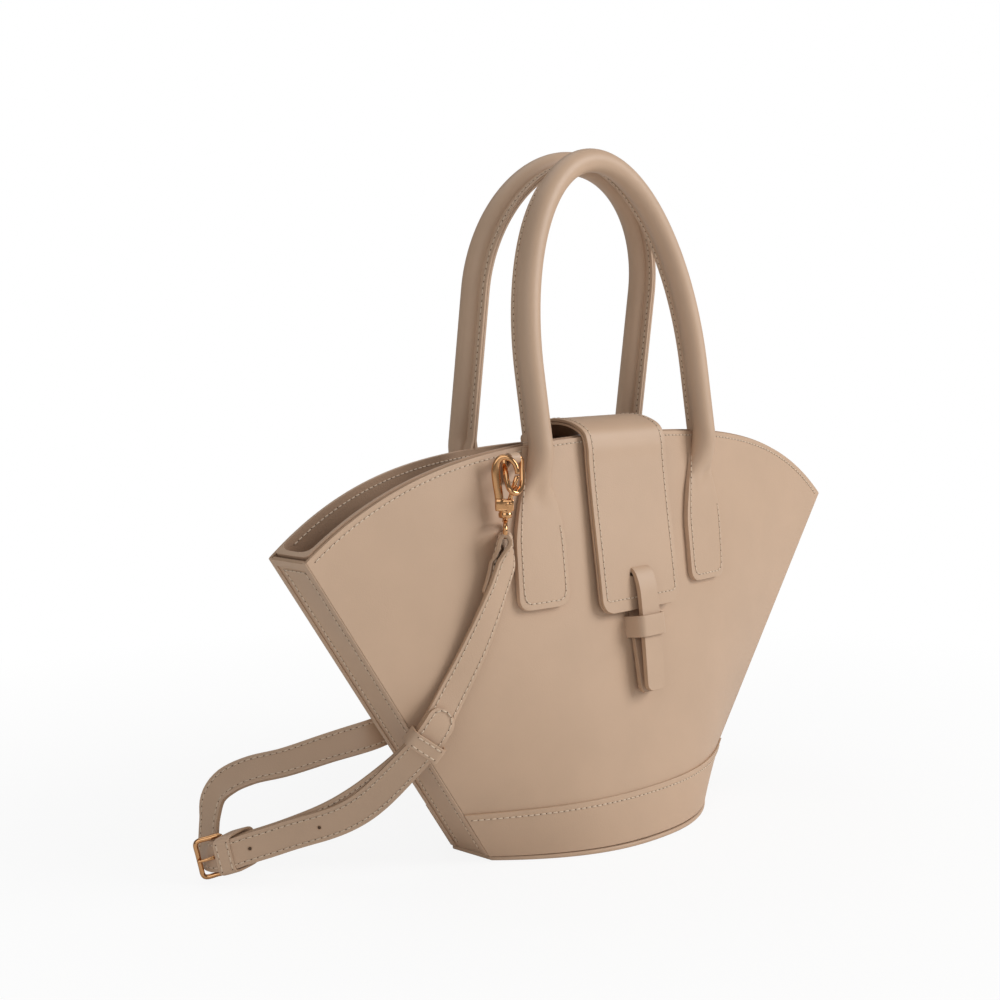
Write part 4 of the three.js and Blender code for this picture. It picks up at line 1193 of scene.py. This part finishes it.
class HANDBAG_OT_hardware(Made):
    """Makes the rings with their leather loops, the snap hooks, the buckle and the strap's keepers"""
    bl_idname = "handbag.hardware"
    bl_label = "Hardware"

    # The middle of the ring's bar and of its front
    ring_bar, ring_front = np.array([-85.0, -26.3, 201.5]), np.array([-96.3, -39.0, 186.5])
    # Each row is a share of the way from the ring's bar to its front and the ring's half width there
    ring_halves = [(0, 0), (0, 3), (0, 5), (0.04, 5.9), (0.14, 6.1), (0.4, 5.6), (0.65, 5.2), (0.85, 4.2),
                   (0.96, 2.2), (1, 0)]
    # Each row is across the hook, up, and the bow's thickness there
    hook_route = [(2.6, 177.6, 4.2), (3, 184, 4.2), (4, 191, 4.4), (4.6, 196.5, 4.2), (3.9, 200.6, 3.4),
                  (1.6, 202.9, 2.8), (-1.5, 202.6, 2.6), (-4.2, 200.2, 2.4), (-5.5, 197, 2.4),
                  (-5.7, 195.2, 2.4)]
    # Each row is two corners of a block of the hook's base
    hook_blocks = [((-3.1, 0.6, 177.6), (3.1, 4.9, 183.4)), ((-3.1, -4.1, 177.4), (3.1, 4.8, 178.6)),
                   ((-3.1, -4.0, 177.6), (-1.5, 1.4, 182.9)), ((1.5, -4.0, 177.6), (3.1, 1.4, 182.9))]
    # Turned profiles: shares of the length and radii
    collar_profile = [(0, 2.4), (0.06, 3.1), (0.3, 3.3), (0.6, 3.3), (0.7, 2.9), (0.78, 3.2), (1, 3.2)]
    stem_profile = [(0, 1.5), (0.2, 1.35), (0.68, 1.35), (0.7, 2.1), (0.95, 2.2), (1, 1.9)]
    rivet_head = [(0, 0.35), (0.02, 1.1), (0.06, 1.55), (0.085, 1.6), (0.1, 1.1)]
    gate_hub = [(0, 1.5), (0.1, 1.8), (0.9, 1.8), (1, 1.5)]
    prong_hub = [(0, 2.0), (0.15, 2.4), (0.85, 2.4), (1, 2.0)]
    # The gate's ends
    pivot, gate_top = np.array([0, -1.5, 180.6]), np.array([0, -5.5, 194.1])

    def make(self):
        for side, move, _ in both_sides():
            metal = (("d_ring", self.ring(), side + "_ring"), ("hook_body", self.hook_body(), side + "_hook"),
                     ("hook_gate", self.gate(), side + "_gate"), ("hook_rivet", self.rivet(), side + "_hook"),
                     ("hook_eye", self.eye(), "bag"))
            for name, parts, body in metal:
                self.gilt(f"{side}_{name}", moved(move, parts), body)
            put_leather(side + "_ring_tab", moved(move, [self.ring_tab()]), bevel=0.35)
        self.gilt("buckle_frame", self.buckle(), "bag")
        self.gilt("buckle_prong", self.prong(), "prong")
        self.loops()

    def gilt(self, name, parts, body):
        """Makes one gilt object."""
        put(name, parts, [finish("gilt")], body, [name], "gold_metal")

    def ring(self):
        """A D-shaped ring of round wire, its bar in the leather loop and its bow hanging forward."""
        forward = self.ring_front - self.ring_bar
        points = [self.ring_bar + forward * a + b * X_AXIS for a, b in mirrored(self.ring_halves)]
        return [wire(points, np.cross(forward, X_AXIS), 1.3, 0.8, 14)]

    def ring_tab(self):
        """A leather strip up the panel, over the ring's bar and down over itself."""
        x, y, z = self.ring_bar
        turn = np.linspace(-0.12, 1.25, 12) * np.pi
        wrap = [(x, y + 2.35 * np.cos(a), z + 2.35 * np.sin(a)) for a in turn]
        near = [tuple(face_at(x, h, o)) for h, o in ((189.2, 0.8), (192, 0.8), (195, 1.0), (197.5, 1.6))]
        over = [tuple(face_at(x, h, o)) for h, o in ((196.5, 4.0), (194.5, 2.7), (192, 2.3), (189.8, 2.2))]
        line, _ = smooth_line(near + wrap + over, 0.8)
        return strip(line, X_AXIS, -side_outs(line), 3.2, 1.15, 7)

    def at_hook(self, parts):
        """Pieces drawn through, across and up the swivel's axis, moved to the hook's place and turned."""
        axes = np.array([[-EYE_ACROSS[1], EYE_ACROSS[0], 0], [-EYE_ACROSS[0], -EYE_ACROSS[1], 0], [0, 0, 1]])
        place = STRAP_EYE * [1, 1, 0]
        return moved(lambda points: points @ axes + place, parts)

    def hook_body(self):
        """A flat bow, broad on its long side, on a base with two cheeks and a turned collar."""
        route = np.array(self.hook_route, float)
        line, places = smooth_line(np.column_stack([0 * route[:, 0], route[:, :2]]), 0.7)
        thick = along(route[:, 2:], places)[:, 0] / 2
        halves = np.stack([np.full_like(thick, 2.0), thick], axis=1)
        section = rounded(1, 1, 3.4, 24)[None] * halves[:, None, :]
        bow = tube(line, X_AXIS, np.cross(tangents(line), X_AXIS), section)
        collar = turning((0, 0, 173.9), (0, 0, 178), self.collar_profile, 24)
        return self.at_hook([bow, *(self.lump(low, high) for low, high in self.hook_blocks), collar])

    def lump(self, low, high):
        """A block with rounded edges between two corners."""
        low, high = np.array(low, float), np.array(high, float)
        share = np.array([0, 0.08, 0.25, 0.5, 0.75, 0.92, 1])[:, None]
        shrink = [0.86, 0.97, 1, 1, 1, 0.97, 0.86]
        middle, half = (low + high) / 2, (high - low) / 2
        line = np.hstack([np.broadcast_to(middle[:2], (7, 2)), low[2] + (high[2] - low[2]) * share])
        return tube(line, X_AXIS, [0, 1.0, 0], scaled(rounded(*half[:2], 5, 24), shrink))

    def gate(self):
        """A sprung bar from the pivot to the hook's tip, with its hub and a small bent thumb lever."""
        reach = self.gate_top - self.pivot
        ends = self.pivot + reach * np.array([[0.02], [0.25], [0.5], [0.75], [0.97], [1.0]])
        bar = tube(ends, X_AXIS, [0, 1.0, 0], scaled(rounded(1.2, 1.15, 3, 14), [1, 1, 1, 1, 1, 0.8]))
        hub = turning(self.pivot - 1.2 * X_AXIS, self.pivot + 1.2 * X_AXIS, self.gate_hub)
        shares = np.array([[0.3], [0.42], [0.52], [0.6], [0.68]])
        lift = np.array([[0, -0.6, 0], [0, -1.5, 0], [0, -1.9, 0], [0, -1.4, 0], [0, -0.5, 0]])
        lever, _ = smooth_line(self.pivot + reach * shares + lift, 0.4)
        thumb = tube(lever, X_AXIS, np.cross(tangents(lever), X_AXIS), rounded(1.0, 0.6, 3, 12))
        return self.at_hook([bar, hub, thumb])

    def rivet(self):
        """The gate's pin with a domed head at each end."""
        profile = self.rivet_head + [(1 - a, r) for a, r in self.rivet_head[::-1]]
        return self.at_hook([turning(self.pivot - 3.4 * X_AXIS, self.pivot + 3.4 * X_AXIS, profile, 18)])

    def eye(self):
        """An oval eye of round wire, its stem through the hook's collar and the stem's head."""
        turn = turns(24)
        points = np.stack([7 * np.sin(turn), 0 * turn, 168.5 + 4 * np.cos(turn)], axis=1)
        oval = wire(points, (0, 1, 0), 1.1, 0.7, 12)
        stem = turning((0, 0, 172.1), (0, 0, 177.6), self.stem_profile)
        return self.at_hook([oval, stem])

    def buckle(self):
        """A rectangular frame of round wire with rounded corners."""
        far, top, corner = -13.0, 9.2, 2.0
        bevel = corner * 0.3
        half = [(0, 0), (0, 4), (0, top - corner), (-bevel, top - bevel), (-corner, top), (far / 2, top),
                (far + corner, top), (far + bevel, top - bevel), (far, top - corner), (far, 4), (far, 0)]
        return [wire(at_buckle([(a, b, 0) for a, b in mirrored(half)]), BUCKLE_OUT, 1.2, 0.8, 14)]

    def prong(self):
        """A tapering prong on a short turned hub."""
        hub = turning(*at_buckle([(0, -1.2, 0), (0, 1.2, 0)]), self.prong_hub)
        line, _ = smooth_line(at_buckle([(-1.4, 0, 0.9), (-5, 0, 2.1), (-9.5, 0, 2.7), (-14, 0, 2.5)]), 0.8)
        section = scaled(rounded(0.85, 0.95, 2.4, 12), np.linspace(1, 0.72, len(line)))
        return [hub, tube(line, np.cross(tangents(line), BUCKLE_UP), BUCKLE_UP, section)]

    def band(self, name, body, centre, axis, across, out, low, high, lean=0.0):
        """A closed leather loop round the strap with two stitch rows on its front.

        It is a rounded rectangle, leaning along the strap with its height."""
        half, radius = mm("strap_width") / 2 + 1.4, 2.2
        wide, tall, deep = half - radius, high - radius, low + radius
        flat = []
        for k, corner in enumerate(((wide, tall), (-wide, tall), (-wide, deep), (wide, deep))):
            turn = np.linspace(0, np.pi / 2, 6) + k * np.pi / 2
            flat.append(np.array(corner) + radius * np.stack([np.cos(turn), np.sin(turn)], axis=1))
        flat = np.concatenate(flat)
        rise = out + axis * lean
        line, _ = smooth_line(centre + flat[:, :1] * across + flat[:, 1:] * rise, 0.8, closed=True)
        outs = outwards(unit(np.cross(tangents(line, True), axis)), line, line.mean(axis=0))
        put_leather(name, [strip(line, axis, outs, 4.0, 1.2, 7, 0.1, wrap=True)], body, bevel=0.35)
        row = centre + rise * high + out * 0.7 + across * np.linspace(-half + 2, half - 2, 20)[:, None]
        sew(name + "_stitches", [(row + axis * a, spread(out, row)) for a in (-2.5, 2.5)], body)

    def loops(self):
        """The keeper sewn beside the buckle, leaning over its bar, and the one that slides on the strap."""
        frame_axes = (BUCKLE_ALONG, BUCKLE_UP, BUCKLE_OUT)
        self.band("fixed_keeper", "bag", at_buckle([7.5, 0, 0]), *frame_axes, -2.5, 6.0, -1.44)
        place, look, side = (rows[SLIDER_STATION] for rows in strap_line(buckle_route(), STATION))
        self.band("sliding_keeper", "strap_slider", place, np.cross(look, side), side, look, -3.1, 6.1)


class HANDBAG_OT_seams(Made):
    """Sews the stitch rows of the rim, the gussets and the bands"""
    bl_idname = "handbag.seams"
    bl_label = "Seams"

    # How far the rows lie in from the rim, the band's edge, the welts and the hem's top
    rim_inset, band_inset, welt_inset, hem_inset = 2.4, 3.0, 2.6, 5.4

    def make(self):
        rows = []
        for _, move, drop in both_sides():
            rows += [(move(points), move(normals)) for points, normals in self.half_rows(drop)]
        sew("shell_stitches", rows, "bag")

    def half_rows(self, drop):
        """Rows on the front panel and left gusset; the others are these turned half round and lowered."""
        u = np.sin(np.linspace(-0.5, 0.5, 160) * np.pi) * 0.985
        rim = 1 - (self.rim_inset + drop * (1 - u**2)) / rim_height(u)
        band = (mm("band_height") - self.band_inset) / rim_height(u)
        rows = [(face(u, rim, 0.1), face_normal(u, rim)), (face(u * 0.965, rim, -3.9), -face_normal(u, rim)),
                (face(u, band, 1.1), face_normal(u, band))]
        top, slope = mm("corner_height"), gusset_slope()
        z = np.linspace(6, top - 6, 80)
        inset = mm("gusset_half") - mm("seam") - self.welt_inset
        sag = gusset_sag(inset / (inset + 3.6), z)
        for y in (-inset, inset):
            line = np.stack([-side_x(z / top), np.full(80, y), z], axis=1) + slope * (sag + 0.1)[:, None]
            rows.append((line, spread(slope, line)))
        high = top - self.hem_inset
        y = np.linspace(-inset, inset, 12)
        hem = np.stack([np.full(12, -side_x(high / top)), y, np.full(12, high)], axis=1)
        rows.append((hem + slope * 0.02, spread(slope, hem)))
        return rows


class HANDBAG_OT_core(Made):
    """Gives the hidden board and handle cords their finishes"""
    bl_idname = "handbag.core"
    bl_label = "Board and cords"

    def make(self):
        coats = {"base_board": "board", "front_handle_core": "cord", "back_handle_core": "cord"}
        for name, coat in coats.items():
            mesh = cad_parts[name].data
            mesh.materials.clear()
            mesh.materials.append(finish(coat))


class HANDBAG_OT_stage(Made):
    """Sets the white floor, the soft studio lights and the white surroundings"""
    bl_idname = "handbag.stage"
    bl_label = "Stage"

    def make(self):
        self.floor()
        self.lamp("key_light", (1.0, -1.35, 1.0), 1.0, 23.5)
        self.lamp("fill_light", (-1.6, -0.9, 0.9), 1.4, 7.0)
        self.lamp("top_light", (0.1, 0.5, 1.9), 1.6, 8.0)
        self.surroundings()

    def floor(self):
        """A wide disc of white paper, lit near the bag and plain white for the camera further out."""
        turn = turns(64)
        radii = np.array([0.001, 0.4, 1.0, 4.0, 12.0])[:, None]
        grid = np.stack([radii * np.cos(turn), radii * np.sin(turn), 0 * radii * turn], axis=-1)
        index = np.arange(len(radii) * 64).reshape(-1, 64)
        faces = quads_of(np.hstack([index, index[:, :1]])).reshape(-1, 4)
        mesh = bpy.data.meshes.new("floor")
        mesh.from_pydata(grid.reshape(-1, 3).tolist(), [], faces.tolist())
        floor = bpy.data.objects.new("floor", mesh)
        bpy.context.collection.objects.link(floor)
        material, tree, shader = new_finish("white_paper")
        fill(tree, shader, {"Base Color": tint("floor"), "Roughness": 0.9, "Specular IOR Level": 0.1})
        coords = tree.nodes.new("ShaderNodeTexCoord")
        away = node(tree, "ShaderNodeVectorMath", {"Vector": (coords, "Object")}, operation="LENGTH")
        rise = {"Value": (away, "Value"), "From Min": 0.15, "From Max": 0.6, "To Min": 0.88}
        fade = node(tree, "ShaderNodeMapRange", rise)
        factors = {0: (fade, "Result"), 1: seen_rays(tree)}
        share = node(tree, "ShaderNodeMath", factors, operation="MULTIPLY")
        white = node(tree, "ShaderNodeEmission", {"Strength": 1.0})
        whiten(tree, (share, "Value"), shader, white, "Material Output")
        mesh.materials.append(material)

    def lamp(self, name, place, width, power):
        """A square soft light aimed at the bag's middle."""
        light = bpy.data.lights.new(name, "AREA")
        light.size = width
        light.energy = power
        aim(name, light, place, (-0.02, 0, 0.15))

    def surroundings(self):
        """Soft white light all round, and plain white wherever the camera sees past the floor."""
        world = bpy.data.worlds.new("studio")
        bpy.context.scene.world = world
        world.use_nodes = True
        tree = world.node_tree
        soft = tree.nodes["Background"]
        fill(tree, soft, {"Color": (1, 1, 1, 1), "Strength": 0.2})
        white = node(tree, "ShaderNodeBackground", {"Color": (1, 1, 1, 1), "Strength": 1.0})
        whiten(tree, seen_rays(tree), soft, white, "World Output")


MAKERS = (HANDBAG_OT_camera, HANDBAG_OT_strap, HANDBAG_OT_shell, HANDBAG_OT_handles, HANDBAG_OT_closure,
          HANDBAG_OT_hardware, HANDBAG_OT_seams, HANDBAG_OT_core, HANDBAG_OT_stage)


class HANDBAG_PT_panel(bpy.types.Panel):
    """Lists the makers of the bag's pieces"""
    bl_label = "Handbag"
    bl_idname = "HANDBAG_PT_panel"
    bl_space_type = "VIEW_3D"
    bl_region_type = "UI"
    bl_category = "Handbag"

    def draw(self, context):
        for maker in MAKERS:
            self.layout.operator(maker.bl_idname)


CLASSES = (HANDBAG_PG_sizes, HANDBAG_PG_colours, *MAKERS, HANDBAG_PT_panel)


def register():
    """Registers the classes and hangs the properties on the scene."""
    for item in CLASSES:
        bpy.utils.register_class(item)
    bpy.types.Scene.handbag_sizes = bpy.props.PointerProperty(type=HANDBAG_PG_sizes)
    bpy.types.Scene.handbag_colours = bpy.props.PointerProperty(type=HANDBAG_PG_colours)


def unregister():
    """Takes the properties and classes away again."""
    del bpy.types.Scene.handbag_sizes
    del bpy.types.Scene.handbag_colours
    for item in reversed(CLASSES):
        bpy.utils.unregister_class(item)


def main():
    """Builds every piece in order."""
    register()
    bpy.context.scene.view_settings.view_transform = "Standard"
    for maker in MAKERS:
        group, call = maker.bl_idname.split(".")
        getattr(getattr(bpy.ops, group), call)()
    bpy.context.view_layer.update()


if __name__ == "__main__":
    main()
